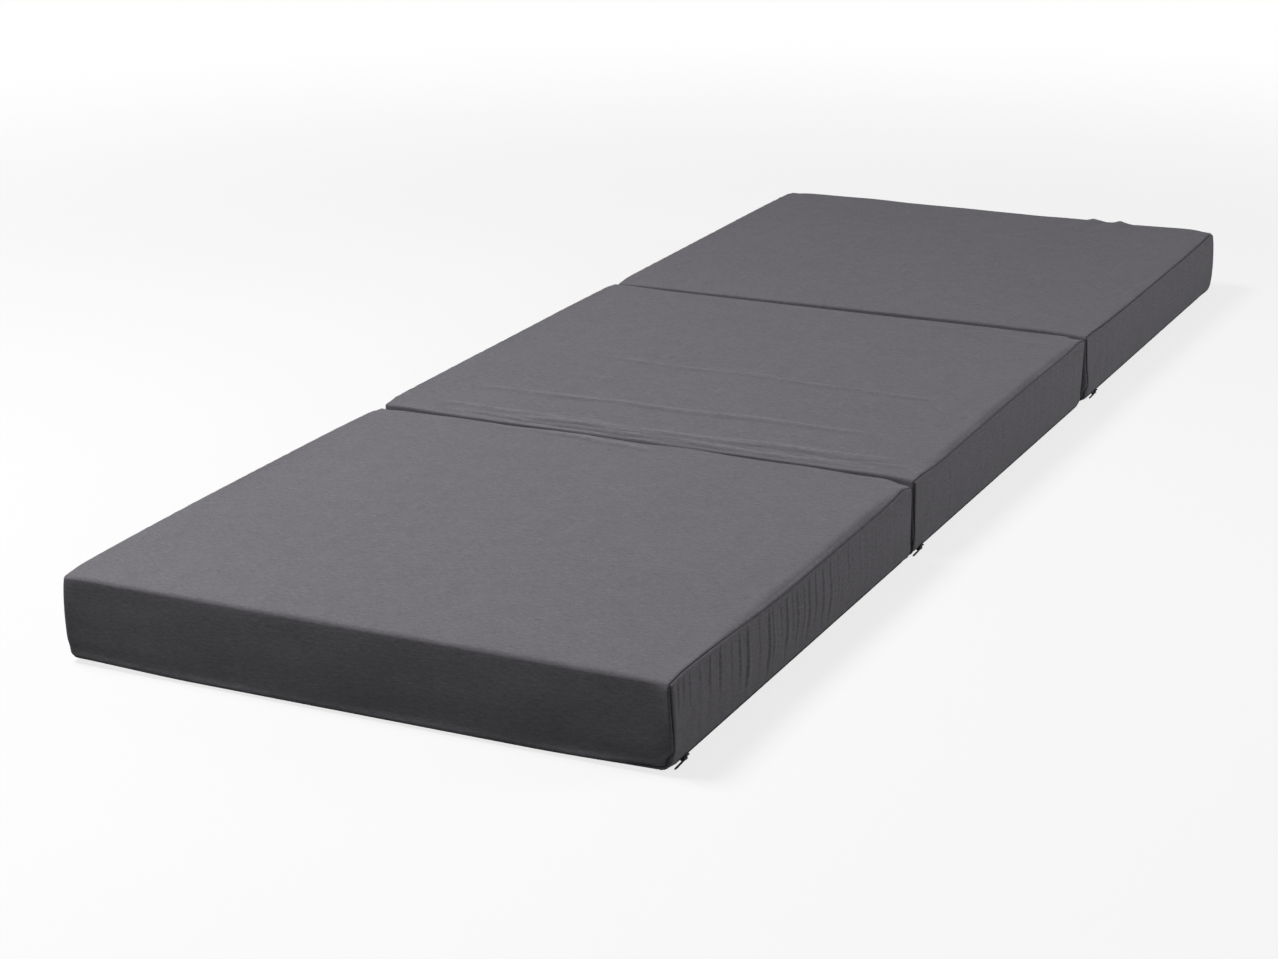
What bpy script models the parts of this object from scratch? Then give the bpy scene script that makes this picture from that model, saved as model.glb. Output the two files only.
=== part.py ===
"""Folding guest mattress: three foam blocks in zipped fabric covers, sewn together at two folds.

Metres, +Z up. The origin is on the floor, under the middle of the opened mattress. +Y runs along
the mattress from the near section to the far one, and +X points to the side that has the zips.
The near fold is sewn at the bottom edge and the far fold at the top edge, so it folds to a Z.
"""

import math
from collections import namedtuple

import bmesh
import bpy
import numpy as np

# Overall sizes of the opened mattress
WIDTH = 0.700
SECTION_LENGTH = 0.646
THICKNESS = 0.100
FOLD_GAP = 0.006

# How the filled cover swells out of its cut shape
CROWN_RISE = 0.002
SIDE_BULGE = 0.003
END_BULGE = 0.002
BELLY_POWER = 4

# Fabric, foam and the gaps between neighbours
FABRIC = 0.0012
FOAM_GAP = 0.0009
FIT_GAP = 0.0003
SEAM_GAP = 0.0003

# Rounding of the long edges: across the mattress, and up
TOP_EDGE_ACROSS = 0.006
TOP_EDGE_UP = 0.009
BOTTOM_EDGE_ACROSS = 0.008
BOTTOM_EDGE_UP = 0.008
ZIP_EDGE = 0.016
ZIP_EDGE_FOAM = 0.022
CORNER_REACH = 0.060

# Rounding of the edges across each end: along the mattress, and up
FREE_EDGE_ALONG = 0.012
FREE_EDGE_UP = 0.011
OPEN_EDGE_ALONG = 0.012
OPEN_EDGE_UP = 0.012
SEWN_EDGE = 0.004
LOW_FOLD_LEAN = 0.0015
HIGH_FOLD_LEAN = 0.007

# Sewn fold strips, each a folded tape with a flap against both end faces
STRIP_THICKNESS = 0.0010
STRIP_FLAP = 0.012
STRIP_SIDE_MARGIN = 0.026
AXIS_CLEARANCE = 0.0003

# Zip chain, across the chain and out of the cover
ZIP_HEM = 0.0055
TAPE_WIDTH = 0.012
TAPE_THICKNESS = 0.0006
TEETH_GAP = 0.0014
TEETH_WIDTH = 0.0018
TEETH_PROUD = 0.0001

# Zip slider
SLIDER_LENGTH = 0.011
SLIDER_WIDTH = 0.0084
SLIDER_NOSE = 0.0066
SLIDER_PLATE = 0.0013
SLIDER_POST = 0.0008
SLIDER_LIFT = 0.0004
SLIDER_BACK_DEPTH = 0.0031
BRIDGE_LENGTH = 0.0064
BRIDGE_WIDTH = 0.0016
BRIDGE_BAR = 0.0010
BRIDGE_WINDOW = 0.0017
BRIDGE_SINK = 0.0006

# Pull tab of the slider
PULL_LENGTH = 0.0240
PULL_WIDTH = 0.0046
PULL_THICKNESS = 0.0010
PULL_BAR = 0.0006
PULL_EYE_LENGTH = 0.0035
PULL_EYE_WIDTH = 0.0022
PULL_TILT = math.radians(2)

# Where each slider is parked, from the near end of its section
NEAR_PARK = 0.042
MIDDLE_PARK = 0.033
FAR_PARK = 0.057

# How finely the soft shapes are drawn
PANEL_ROUND_CELLS = 3
ACROSS_SHARES = (-1, -0.8, 0, 0.8, 1)
ALONG_SHARES = (-1, -0.5, 0, 0.5, 1)
UP_SHARES = (-1, 0, 1)
TAPE_CELLS = 4
PULL_CORNER_CELLS = 3

FOAM_ROUND_CELLS = PANEL_ROUND_CELLS - 1
BOX_HEIGHT = THICKNESS - CROWN_RISE
BOX_HALF_WIDTH = WIDTH / 2 - SIDE_BULGE
HIGH_AXIS = THICKNESS + AXIS_CLEARANCE
LOW_AXIS = -AXIS_CLEARANCE
EIGHTH_TURN = math.pi / 4
ZIP_TURN = 3 * EIGHTH_TURN
FACET_INSET = ZIP_EDGE * (1 - math.cos(EIGHTH_TURN))
PIVOT_HEIGHT = TEETH_PROUD + SLIDER_LIFT + SLIDER_PLATE + BRIDGE_WINDOW / 2

End = namedtuple("End", "top_along top_up bottom_along bottom_up top_lean bottom_lean bulge")
Section = namedtuple("Section", "name place near far park")

FREE_END = End(FREE_EDGE_ALONG, FREE_EDGE_UP, FREE_EDGE_ALONG, FREE_EDGE_UP, 0, 0, END_BULGE)
LOW_FOLD_END = End(OPEN_EDGE_ALONG, OPEN_EDGE_UP, SEWN_EDGE, SEWN_EDGE, LOW_FOLD_LEAN, 0, 0)
HIGH_FOLD_END = End(SEWN_EDGE, SEWN_EDGE, OPEN_EDGE_ALONG, OPEN_EDGE_UP, 0, HIGH_FOLD_LEAN, 0)

NEAR = Section("near", -1, FREE_END, LOW_FOLD_END, NEAR_PARK)
MIDDLE = Section("middle", 0, LOW_FOLD_END, HIGH_FOLD_END, MIDDLE_PARK)
FAR = Section("far", 1, HIGH_FOLD_END, FREE_END, FAR_PARK)

# Which edges of a panel are sewn to a neighbour, as low and high arc lengths for x, y and z
SEAM = SEAM_GAP / 2
WHOLE = np.zeros((3, 2))
TOP_TRIMS = np.array([(SEAM, SEAM), (0, 0), (SEAM, 0)])
LEFT_TRIMS = np.array([(0, 0), (SEAM, SEAM), (SEAM, SEAM)])
RIGHT_TRIMS = np.array([(0, 0), (SEAM, SEAM), (ZIP_HEM, SEAM)])
BOTTOM_TRIMS = np.array([(SEAM, ZIP_HEM), (SEAM, SEAM), (0, 0)])


def clear_scene():
    for thing in list(bpy.data.objects):
        bpy.data.objects.remove(thing, do_unlink=True)


def finish_material(name, colour, roughness, metallic=0.0):
    material = bpy.data.materials.new(name)
    material.use_nodes = True
    shader = material.node_tree.nodes["Principled BSDF"]
    shader.inputs["Base Color"].default_value = (*colour, 1)
    shader.inputs["Roughness"].default_value = roughness
    shader.inputs["Metallic"].default_value = metallic
    return material


def blend(start, end, share):
    return start + (end - start) * share


def ease(share):
    share = np.clip(share, 0, 1)
    return share * share * (3 - 2 * share)


# Shape of a filled cover: a box with rounded edges, named by places on a cube


def section_box(section):
    """Low and high corner of a section before it swells, about the section's own centre."""
    near = -SECTION_LENGTH / 2 + section.near.bulge
    far = SECTION_LENGTH / 2 - section.far.bulge
    return np.array([-BOX_HALF_WIDTH, near, 0]), np.array([BOX_HALF_WIDTH, far, BOX_HEIGHT])


def edge_radii(section, share, zip_edge):
    """Rounding along x, y and z at each place, which is a share of the box from -1 to 1."""
    up = ease((share[:, 2] + 1) / 2)
    along = ease((share[:, 1] + 1) / 2)
    inner = ease((1 - abs(share[:, 0])) * BOX_HALF_WIDTH / CORNER_REACH)
    zip_side = share[:, 0] > 0
    low_across = np.where(zip_side, zip_edge, BOTTOM_EDGE_ACROSS)
    low_up = np.where(zip_side, zip_edge, BOTTOM_EDGE_UP)
    near, far = section.near, section.far
    across = blend(low_across, TOP_EDGE_ACROSS, up)
    length = blend(
        blend(near.bottom_along, near.top_along, up), blend(far.bottom_along, far.top_along, up), along
    )
    end_up = blend(blend(near.bottom_up, near.top_up, up), blend(far.bottom_up, far.top_up, up), along)
    side_up = blend(low_up, TOP_EDGE_UP, up)
    return np.column_stack([across, length, blend(side_up, end_up, inner)])


def end_shift(end, across, up):
    """How far an end face stands out past its flat place, by its bulge and its lean."""
    return end.bulge * (1 - across**2) * np.sin(math.pi * up) - blend(end.bottom_lean, end.top_lean, up)


def settle(section, points):
    """Points of the rounded box moved as the filling swells the cover."""
    low, high = section_box(section)
    points = np.array(points, float)
    across = points[:, 0] / BOX_HALF_WIDTH
    along = (2 * points[:, 1] - low[1] - high[1]) / (high[1] - low[1])
    up = np.clip(points[:, 2] / BOX_HEIGHT, 0, 1)
    belly = np.sin(math.pi * up) ** BELLY_POWER
    points[:, 0] += SIDE_BULGE * across * (1 - along**2) * belly
    points[:, 1] += np.clip(along, 0, 1) ** 2 * end_shift(section.far, across, up)
    points[:, 1] -= np.clip(-along, 0, 1) ** 2 * end_shift(section.near, across, up)
    points[:, 2] += CROWN_RISE * (1 - across**2) * (1 - along**2) * up
    return points


def surface(section, places, inset, trims, zip_edge):
    """Points for cube places, on the surface that lies inset inside the cover's outer face.

    A place holds, for x, y and z, its share of the straight run and its share of an eighth turn
    round the edge. A trim takes an arc length off the last turn, where a panel is sewn or hemmed.
    """
    centre, turn = places[:, 0], places[:, 1]
    low, high = section_box(section)
    radius = edge_radii(section, centre, zip_edge)
    trim = np.where(turn < 0, trims[:, 0], trims[:, 1])
    trim = np.where((trim > SEAM) & (turn[:, 1:2] != 0), SEAM, trim)
    reach = np.tan(turn * (EIGHTH_TURN - trim / radius))
    normal = reach / np.linalg.norm(reach, axis=1, keepdims=True)
    straight = (low + high) / 2 + centre * ((high - low) / 2 - radius)
    return settle(section, straight + (radius - inset) * normal)


def stations(shares, round_cells):
    """The places along one axis: round the low edge, along the straight run, round the high edge."""
    turns = [step / round_cells for step in range(1, round_cells + 1)]
    low = [(-1, -turn) for turn in reversed(turns)]
    high = [(1, turn) for turn in turns]
    return low + [(share, 0) for share in shares] + high


def cube_face(axis, side, grid):
    """The triangles of one cube face, each as three places, facing out.

    Cover and foam split each cell along the same diagonal, so that their gap stays even.
    """
    first, second = (axis + 1) % 3, (axis + 2) % 3
    cells = []
    for i in range(len(grid[first]) - 1):
        for j in range(len(grid[second]) - 1):
            corners = [(i, j), (i + 1, j), (i + 1, j + 1), (i, j + 1)]
            cell = []
            for a, b in corners if side > 0 else reversed(corners):
                place = [None, None, None]
                place[axis] = (side, side)
                place[first] = grid[first][a]
                place[second] = grid[second][b]
                cell.append(tuple(place))
            cells += [cell[:3], [cell[0], cell[2], cell[3]]]
    return cells


def numbered(cells):
    """(places, faces) with each place named once."""
    index = {}
    faces = [[index.setdefault(place, len(index)) for place in cell] for cell in cells]
    places = np.array(list(index), float).transpose(0, 2, 1)
    return places, faces


def closed_shell(faces, count):
    """Faces of a thin closed body, from those of its outer side: the inner side's come count later."""
    inner = [[count + corner for corner in reversed(face)] for face in faces]
    edges = [(face[i], face[(i + 1) % len(face)]) for face in faces for i in range(len(face))]
    inside = set(edges)
    rim = [[b, a, count + a, count + b] for a, b in edges if (b, a) not in inside]
    return faces + inner + rim


def mesh_object(name, points, faces, material):
    mesh = bpy.data.meshes.new(name)
    mesh.from_pydata([tuple(point) for point in points], [], faces)
    mesh.materials.append(material)
    mesh.shade_smooth()
    mesh.set_sharp_from_angle(angle=EIGHTH_TURN)
    thing = bpy.data.objects.new(name, mesh)
    bpy.context.scene.collection.objects.link(thing)
    return thing


def panel(section, name, cube_faces, trims, material):
    """A cover panel: a fabric shell over some of the cube's faces, with an edge at each seam."""
    grid = [stations(shares, PANEL_ROUND_CELLS) for shares in (ACROSS_SHARES, ALONG_SHARES, UP_SHARES)]
    places, faces = numbered([cell for axis, side in cube_faces for cell in cube_face(axis, side, grid)])
    outer = surface(section, places, 0, trims, ZIP_EDGE)
    inner = surface(section, places, FABRIC, trims, ZIP_EDGE)
    points = np.vstack([outer, inner])
    return mesh_object(f"{section.name}_{name}", points, closed_shell(faces, len(outer)), material)


def foam_core(section, material):
    """The foam block, a little smaller than the cover, with the zip's edge cut rounder."""
    grid = [stations(shares, FOAM_ROUND_CELLS) for shares in (ACROSS_SHARES, ALONG_SHARES, UP_SHARES)]
    sides = [(axis, side) for axis in range(3) for side in (-1, 1)]
    places, faces = numbered([cell for axis, side in sides for cell in cube_face(axis, side, grid)])
    inset = FABRIC + FOAM_GAP
    points = surface(section, places, inset, WHOLE, ZIP_EDGE_FOAM + inset)
    return mesh_object(f"{section.name}_foam_core", points, faces, material)


# Swept and extruded bodies


def swept(name, rings, material):
    """A closed body through rings of as many points each, with flat ends."""
    count = len(rings[0])
    faces = [list(reversed(range(count))), [(len(rings) - 1) * count + i for i in range(count)]]
    for step in range(len(rings) - 1):
        for i in range(count):
            j = (i + 1) % count
            base, top = step * count, (step + 1) * count
            faces.append([base + i, base + j, top + j, top + i])
    thing = mesh_object(name, np.vstack(rings), faces, material)
    shape = bmesh.new()
    shape.from_mesh(thing.data)
    bmesh.ops.recalc_face_normals(shape, faces=shape.faces)
    shape.to_mesh(thing.data)
    shape.free()
    return thing


def facet_point(out, along_arc):
    """(x, z) of a point round the zip's edge: its radius, and its turn from the edge's middle."""
    turn = along_arc - EIGHTH_TURN
    return (
        BOX_HALF_WIDTH - ZIP_EDGE + out * math.cos(turn),
        ZIP_EDGE + out * math.sin(turn),
    )


def stringer_outline(side):
    """Half a zip chain across: a tape that lies against the fabric's inside, and its row of teeth."""
    outer = ZIP_EDGE - FABRIC - FIT_GAP
    inner = outer - TAPE_THICKNESS
    start, shoulder = (math.asin(gap / outer) for gap in (TEETH_GAP / 2, TEETH_GAP / 2 + TEETH_WIDTH))
    end = start + TAPE_WIDTH / outer
    turns = np.linspace(start, end, TAPE_CELLS + 1)
    crest = ZIP_EDGE + TEETH_PROUD
    crest_start, crest_end = (math.asin(math.sin(turn) * outer / crest) for turn in (start, shoulder))
    outline = [facet_point(inner, side * turn) for turn in turns]
    outline += [facet_point(outer, side * turn) for turn in reversed(turns[1:])]
    outline += [facet_point(outer, side * shoulder)]
    return outline + [facet_point(crest, side * crest_end), facet_point(crest, side * crest_start)]


def zip_stringer(section, name, side, material):
    """One half of the chain, which runs between the rounded ends of the cover."""
    low, high = section_box(section)
    start = low[1] + section.near.bottom_along
    end = high[1] - section.far.bottom_along
    outline = stringer_outline(side)
    rings = []
    for share in ALONG_SHARES:
        along = blend(start, end, (share + 1) / 2)
        rings.append(settle(section, [(x, along, z) for x, z in outline]))
    return swept(f"{section.name}_{name}", rings, material)


def slider_outline(width):
    """The slider across the chain: front plate, post between the rows of teeth, back plate."""
    half, post = width / 2, SLIDER_POST / 2
    front = TEETH_PROUD + SLIDER_LIFT
    back = -SLIDER_BACK_DEPTH
    right = [
        (half, back - SLIDER_PLATE),
        (half, back),
        (post, back),
        (post, front),
        (half, front),
        (half, front + SLIDER_PLATE),
    ]
    return right + [(-x, z) for x, z in reversed(right)]


def slider_body(name, material):
    """Slider with its bridge. Its X runs across the chain, its Y along it and its Z out of it."""
    nose = SLIDER_LENGTH / 4
    rings = []
    for along, width in (
        (SLIDER_LENGTH / 2, SLIDER_WIDTH),
        (nose - SLIDER_LENGTH / 2, SLIDER_WIDTH),
        (-SLIDER_LENGTH / 2, SLIDER_NOSE),
    ):
        rings.append([(x, along, z) for x, z in slider_outline(width)])
    body = swept(name, rings, material)
    join = body.modifiers.new("bridge", "BOOLEAN")
    join.operation = "UNION"
    join.object = slider_bridge(f"{name}_bridge_guide", material)
    return body, join.object


def slider_bridge(name, material):
    """The staple on the slider's front plate, which holds the pull."""
    base = TEETH_PROUD + SLIDER_LIFT + SLIDER_PLATE
    half, inner = BRIDGE_LENGTH / 2, BRIDGE_LENGTH / 2 - BRIDGE_BAR
    under = base + BRIDGE_WINDOW
    top = under + BRIDGE_BAR
    foot = base - BRIDGE_SINK
    outline = [
        (-half, foot),
        (-inner, foot),
        (-inner, under),
        (inner, under),
        (inner, foot),
        (half, foot),
        (half, under),
        (inner, top),
        (-inner, top),
        (-half, under),
    ]
    rings = [[(x, y, z) for y, z in outline] for x in (-BRIDGE_WIDTH / 2, BRIDGE_WIDTH / 2)]
    guide = swept(name, rings, material)
    guide.hide_render = True
    guide.display_type = "WIRE"
    return guide


def round_rectangle(half_width, start, end, corner):
    """Anticlockwise points of a rectangle with round corners: x is its width, y its length."""
    points = []
    for quarter, (sign_x, sign_y) in enumerate(((1, 1), (-1, 1), (-1, -1), (1, -1))):
        for step in range(PULL_CORNER_CELLS + 1):
            angle = (quarter + step / PULL_CORNER_CELLS) * math.pi / 2
            x = sign_x * (half_width - corner) + corner * math.cos(angle)
            middle, half = (start + end) / 2, (end - start) / 2
            y = middle + sign_y * (half - corner) + corner * math.sin(angle)
            points.append((x, y))
    return points


def pull_tab(name, material):
    """Flat tab with an eye round the bridge. Its X is the pivot and it points along -Y."""
    eye_end = -PULL_BAR - PULL_EYE_LENGTH
    outer = round_rectangle(PULL_WIDTH / 2, -PULL_LENGTH, PULL_BAR, PULL_BAR)
    eye = round_rectangle(PULL_EYE_WIDTH / 2, eye_end, -PULL_BAR, PULL_BAR / 2)
    count = len(outer)
    points = []
    for level in (-PULL_THICKNESS / 2, PULL_THICKNESS / 2):
        for ring in (outer, eye):
            points += [(x, y, level) for x, y in ring]
    faces = []
    for i in range(count):
        j = (i + 1) % count
        low_out, low_eye, top_out, top_eye = 0, count, 2 * count, 3 * count
        faces.append([low_out + j, low_out + i, low_eye + i, low_eye + j])
        faces.append([top_out + i, top_out + j, top_eye + j, top_eye + i])
        faces.append([low_out + i, low_out + j, top_out + j, top_out + i])
        faces.append([low_eye + j, low_eye + i, top_eye + i, top_eye + j])
    return mesh_object(name, points, faces, material)


def strip_outline(end, sewn_low):
    """A folded strip across the gap of a fold, as (y, z) about the gap's middle, web side first."""
    face = end.bottom_up if sewn_low else BOX_HEIGHT - end.top_up
    flap_end = face + STRIP_FLAP if sewn_low else face - STRIP_FLAP
    web = face + STRIP_THICKNESS if sewn_low else face - STRIP_THICKNESS

    def half_gap(height, inset):
        lean = blend(end.bottom_lean, end.top_lean, height / BOX_HEIGHT)
        return FOLD_GAP / 2 + lean - FIT_GAP - inset

    right = [
        (half_gap(face, 0), face),
        (half_gap(flap_end, 0), flap_end),
        (half_gap(flap_end, STRIP_THICKNESS), flap_end),
        (half_gap(web, STRIP_THICKNESS), web),
    ]
    return right + [(-y, z) for y, z in reversed(right)]


def fold_strip(name, end, sewn_low, material):
    half = BOX_HALF_WIDTH - STRIP_SIDE_MARGIN
    outline = strip_outline(end, sewn_low)
    rings = [[(x, y, z) for y, z in outline] for x in (-half, half)]
    return swept(name, rings, material)


# The mattress, section by section


def empty(name, location, parent=None):
    thing = bpy.data.objects.new(name, None)
    bpy.context.scene.collection.objects.link(thing)
    seat(thing, location, parent)
    return thing


def seat(thing, location, parent):
    """Parents a thing and sets its place, which is given in its parent's own axes."""
    thing.parent = parent
    thing.location = location


def build_cover(section, holder, offset, materials):
    fabric = materials["cover_fabric"]
    pieces = [
        foam_core(section, materials["foam"]),
        panel(section, "top_panel", ((2, 1), (1, -1), (1, 1)), TOP_TRIMS, fabric),
        panel(section, "left_side_panel", ((0, -1),), LEFT_TRIMS, fabric),
        panel(section, "right_side_panel", ((0, 1),), RIGHT_TRIMS, fabric),
        panel(section, "bottom_panel", ((2, -1),), BOTTOM_TRIMS, fabric),
        zip_stringer(section, "zip_stringer_upper", 1, materials["zip_tape"]),
        zip_stringer(section, "zip_stringer_lower", -1, materials["zip_tape"]),
    ]
    for piece in pieces:
        seat(piece, offset, holder)


def build_zip_slider(section, holder, offset, materials):
    """Slider and pull, under an empty on the chain's middle line that is turned with the chain."""
    park = (offset[0] + BOX_HALF_WIDTH - FACET_INSET, offset[1] - SECTION_LENGTH / 2 + section.park)
    chain = empty(f"{section.name}_zip", (*park, offset[2] + FACET_INSET), holder)
    chain.rotation_euler = (0, ZIP_TURN, 0)
    body, bridge = slider_body(f"{section.name}_zip_slider", materials["slider_metal"])
    seat(body, (0, 0, 0), chain)
    seat(bridge, (0, 0, 0), chain)
    pull = pull_tab(f"{section.name}_zip_pull", materials["slider_metal"])
    seat(pull, (0, 0, PIVOT_HEIGHT), chain)
    pull.rotation_euler = (-PULL_TILT, 0, 0)


def build_section(section, holder, holder_place, materials):
    pitch = SECTION_LENGTH + FOLD_GAP
    offset = (0, section.place * pitch - holder_place[1], -holder_place[2])
    build_cover(section, holder, offset, materials)
    build_zip_slider(section, holder, offset, materials)


def main():
    clear_scene()
    materials = {
        "cover_fabric": finish_material("cover_fabric", (0.13, 0.128, 0.14), 0.9),
        "foam": finish_material("foam", (0.82, 0.78, 0.66), 0.95),
        "zip_tape": finish_material("zip_tape", (0.02, 0.02, 0.022), 0.7),
        "slider_metal": finish_material("slider_metal", (0.02, 0.02, 0.02), 0.35, 0.6),
    }
    half_pitch = (SECTION_LENGTH + FOLD_GAP) / 2
    far_place = (0, 0, 0)
    high_fold = (0, half_pitch, HIGH_AXIS)
    low_fold = (0, -half_pitch, LOW_AXIS)
    far_holder = empty("far_section", far_place)
    middle_holder = empty("middle_section", high_fold, far_holder)
    near_holder = empty("near_section", np.subtract(low_fold, high_fold), middle_holder)
    build_section(FAR, far_holder, far_place, materials)
    build_section(MIDDLE, middle_holder, high_fold, materials)
    build_section(NEAR, near_holder, low_fold, materials)
    upper = fold_strip("upper_fold_strip", HIGH_FOLD_END, False, materials["cover_fabric"])
    seat(upper, (0, 0, -HIGH_AXIS), middle_holder)
    lower = fold_strip("lower_fold_strip", LOW_FOLD_END, True, materials["cover_fabric"])
    seat(lower, (0, 0, -LOW_AXIS), near_holder)


main()
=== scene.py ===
"""Looks of the folding guest mattress: cloth covers with sewn seams, zips, light and camera.

Metres, +Z up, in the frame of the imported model. +Y runs along the opened mattress from the near
section to the far one, and +X points to the side that has the zips.
"""

import math
from collections import namedtuple

import bmesh
import bpy
import numpy as np
from mathutils import Matrix, Vector


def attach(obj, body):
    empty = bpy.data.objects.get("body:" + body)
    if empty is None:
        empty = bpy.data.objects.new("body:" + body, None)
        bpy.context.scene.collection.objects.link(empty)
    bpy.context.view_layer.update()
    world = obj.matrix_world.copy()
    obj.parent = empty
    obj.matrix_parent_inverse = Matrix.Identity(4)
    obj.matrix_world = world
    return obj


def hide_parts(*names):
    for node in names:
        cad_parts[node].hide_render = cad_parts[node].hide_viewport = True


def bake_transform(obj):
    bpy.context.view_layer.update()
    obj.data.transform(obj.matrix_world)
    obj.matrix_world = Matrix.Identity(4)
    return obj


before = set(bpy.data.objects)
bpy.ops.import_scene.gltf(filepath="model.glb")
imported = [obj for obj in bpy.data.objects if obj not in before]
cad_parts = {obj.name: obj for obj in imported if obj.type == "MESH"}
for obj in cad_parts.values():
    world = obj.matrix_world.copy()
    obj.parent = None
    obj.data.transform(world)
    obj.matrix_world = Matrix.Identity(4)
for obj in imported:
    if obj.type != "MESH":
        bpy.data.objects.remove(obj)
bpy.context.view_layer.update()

# Overall sizes of the opened mattress
WIDTH = 0.700
SECTION_LENGTH = 0.646
THICKNESS = 0.100
FOLD_GAP = 0.006
PITCH = SECTION_LENGTH + FOLD_GAP

# How the filled cover swells out of its cut shape
CROWN_RISE = 0.002
SIDE_BULGE = 0.003
END_BULGE = 0.002
BELLY_POWER = 4
EDGE_LIFT_POWER = 6

# Rounding of the long edges. The zip edge changes towards a free end from this share of the length
LEFT_TOP_EDGE = 0.004
RIGHT_TOP_EDGE = 0.0055
BOTTOM_EDGE = 0.009
ZIP_EDGE = 0.016
ZIP_EDGE_FOAM = 0.022
ZIP_END_START = 0.93
CORNER_REACH = 0.060

# Rounding of the edges across each end, and how the folds' end faces lean
FREE_TOP_EDGE = 0.0065
FREE_BOTTOM_EDGE = 0.007
OPEN_TOP_EDGE = 0.0035
OPEN_BOTTOM_EDGE = 0.012
SEWN_EDGE = 0.004
LOW_FOLD_LEAN = 0.0015
HIGH_FOLD_LEAN = 0.007

# How the corners are pushed out by the filling, lifted off the floor and pulled down at the top
CORNER_PUFF = 0.0030
PUFF_POWER = 0.7
PUFF_ALONG = 0.6
PUFF_START = 0.006
PUFF_RUN = 0.020
CORNER_RISE = 0.0030
CORNER_RISE_UP = 0.030
RISE_START_ACROSS = 0.55
RISE_START_LEFT = 0.80
RISE_START_RIGHT = 0.93
CORNER_DROP = 0.0022
DROP_START = 0.9

# Cloth, how it dives into a seam, and the small gathers beside the stitches
CLOTH = 0.0008
SEAM_GAP = 0.0003
SEAM_ROLL = 0.0013
SEAM_LIP = 0.0010
RIDGE_HEIGHT = 0.0004
RIDGE_PLACE = 0.0034
RIDGE_WIDTH = 0.0016
PUCKER_HEIGHT = 0.00028
PUCKER_START = 0.004
PUCKER_REACH = 0.014
PUCKER_LENGTH = 0.022
RELIEF_START = 0.006
FOAM_INSET = 0.0042

# Zip hem and its row of topstitching
ZIP_HEM = 0.0055
HEM_ROLL = 0.0007
HEM_CLOSE_START = 0.010
HEM_CLOSE_RUN = 0.010
STITCH_ROW = 0.0042
STITCH_SINK = 0.0004
STITCH_SPREAD = 0.0010
STITCH_PITCH = 0.0036
STITCH_LENGTH = 0.0027
STITCH_THICKNESS = 0.00042
STITCH_SIDES = 6

# Rings of a stitch: place along it as a share of its length, and thickness and depth in the cloth
# as shares of its thickness
STITCH_RINGS = ((-0.5, 0.5, 0.8), (-0.25, 1, 0), (0.25, 1, 0), (0.5, 0.5, 0.8))

# Zip chain
TAPE_WIDTH = 0.012
TAPE_THICKNESS = 0.0005
TAPE_START = 0.0010
TAPE_INSET = 0.0015
TAPE_UNDER_CLOTH = 0.0006
TEETH_START = 0.00045
TEETH_END = 0.0026
TEETH_PROUD = 0.0003
TOOTH_PITCH = 0.0014
TOOTH_LENGTH = 0.0009
TOOTH_ROUND = 0.00022
CHAIN_END = 0.021

# Zip slider and its pull
SLIDER_LENGTH = 0.011
SLIDER_WIDTH = 0.0084
SLIDER_PLATE = 0.0012
SLIDER_LOW = 0.0006
SLIDER_POST = 0.0008
SLIDER_BACK_DEPTH = 0.0031
FLANGE_THICKNESS = 0.0006
FLANGE_DEPTH = 0.0012
BRIDGE_LENGTH = 0.0064
BRIDGE_WIDTH = 0.0017
BRIDGE_BAR = 0.0010
BRIDGE_OVER_PIVOT = 1.35 * BRIDGE_BAR
BRIDGE_POWER = 0.6
PIVOT_HEIGHT = 0.00265
METAL_ROUND = 0.00022
PULL_LENGTH = 0.0240
PULL_WIDTH = 0.0046
PULL_THICKNESS = 0.0016
PULL_BAR = 0.0006
PULL_EYE_LENGTH = 0.0035
PULL_EYE_WIDTH = 0.0022
PULL_GRIP_RISE = 0.00022
PULL_GRIP_INSET = 1.5 * PULL_BAR
PULL_GRIP_START = PULL_LENGTH / 5
PULL_TILT = math.radians(2)

# Outline of the slider's plates: places along it and widths, as shares of its length and width
SLIDER_OUTLINE = (
    (-0.5, 0.55), (-0.47, 0.66), (-0.38, 0.76), (-0.25, 1),
    (0, 1), (0.36, 1), (0.45, 0.88), (0.5, 0.62),
)
FLANGED = slice(1, 6)
POST_SHARES = (-0.25, 0.46)

# Where each slider is parked, from the near end of its section
NEAR_PARK = 0.042
MIDDLE_PARK = 0.033
FAR_PARK = 0.057

# Sewn fold strips
STRIP_FLAP = 0.012
STRIP_SIDE_MARGIN = 0.026
STRIP_CLEARANCE = 0.0004
STRIP_SAG = 0.0006
STRIP_SINK = 0.0020
STRIP_WAVE = 0.0004
STRIP_WAVE_LENGTH = 0.018

# Points closer than this are one point, and edges sharper than this stay sharp
MERGE = 1e-7
SHARP_ANGLE = 0.6

# How closely the forms are drawn: distances between points, and counts
TOP_PITCH_ACROSS = 0.011
TOP_PITCH_ALONG = 0.009
TOP_PITCH_UP = 0.007
SIDE_PITCH = 0.0045
PLEATED_PITCH = 0.0016
SIDE_ROW_PITCH = 0.006
BOTTOM_PITCH = 0.018
FOAM_PITCH = 0.05
FOAM_TURNS = (0.5, 1)
TAPE_PITCH = 0.006
TAPE_ROWS = 9
BRIDGE_CELLS = 12
PULL_CORNER_CELLS = 6
STRIP_ROWS = 4
STRIP_WEB_ROWS = 9
STRIP_COLUMNS = 120

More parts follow.
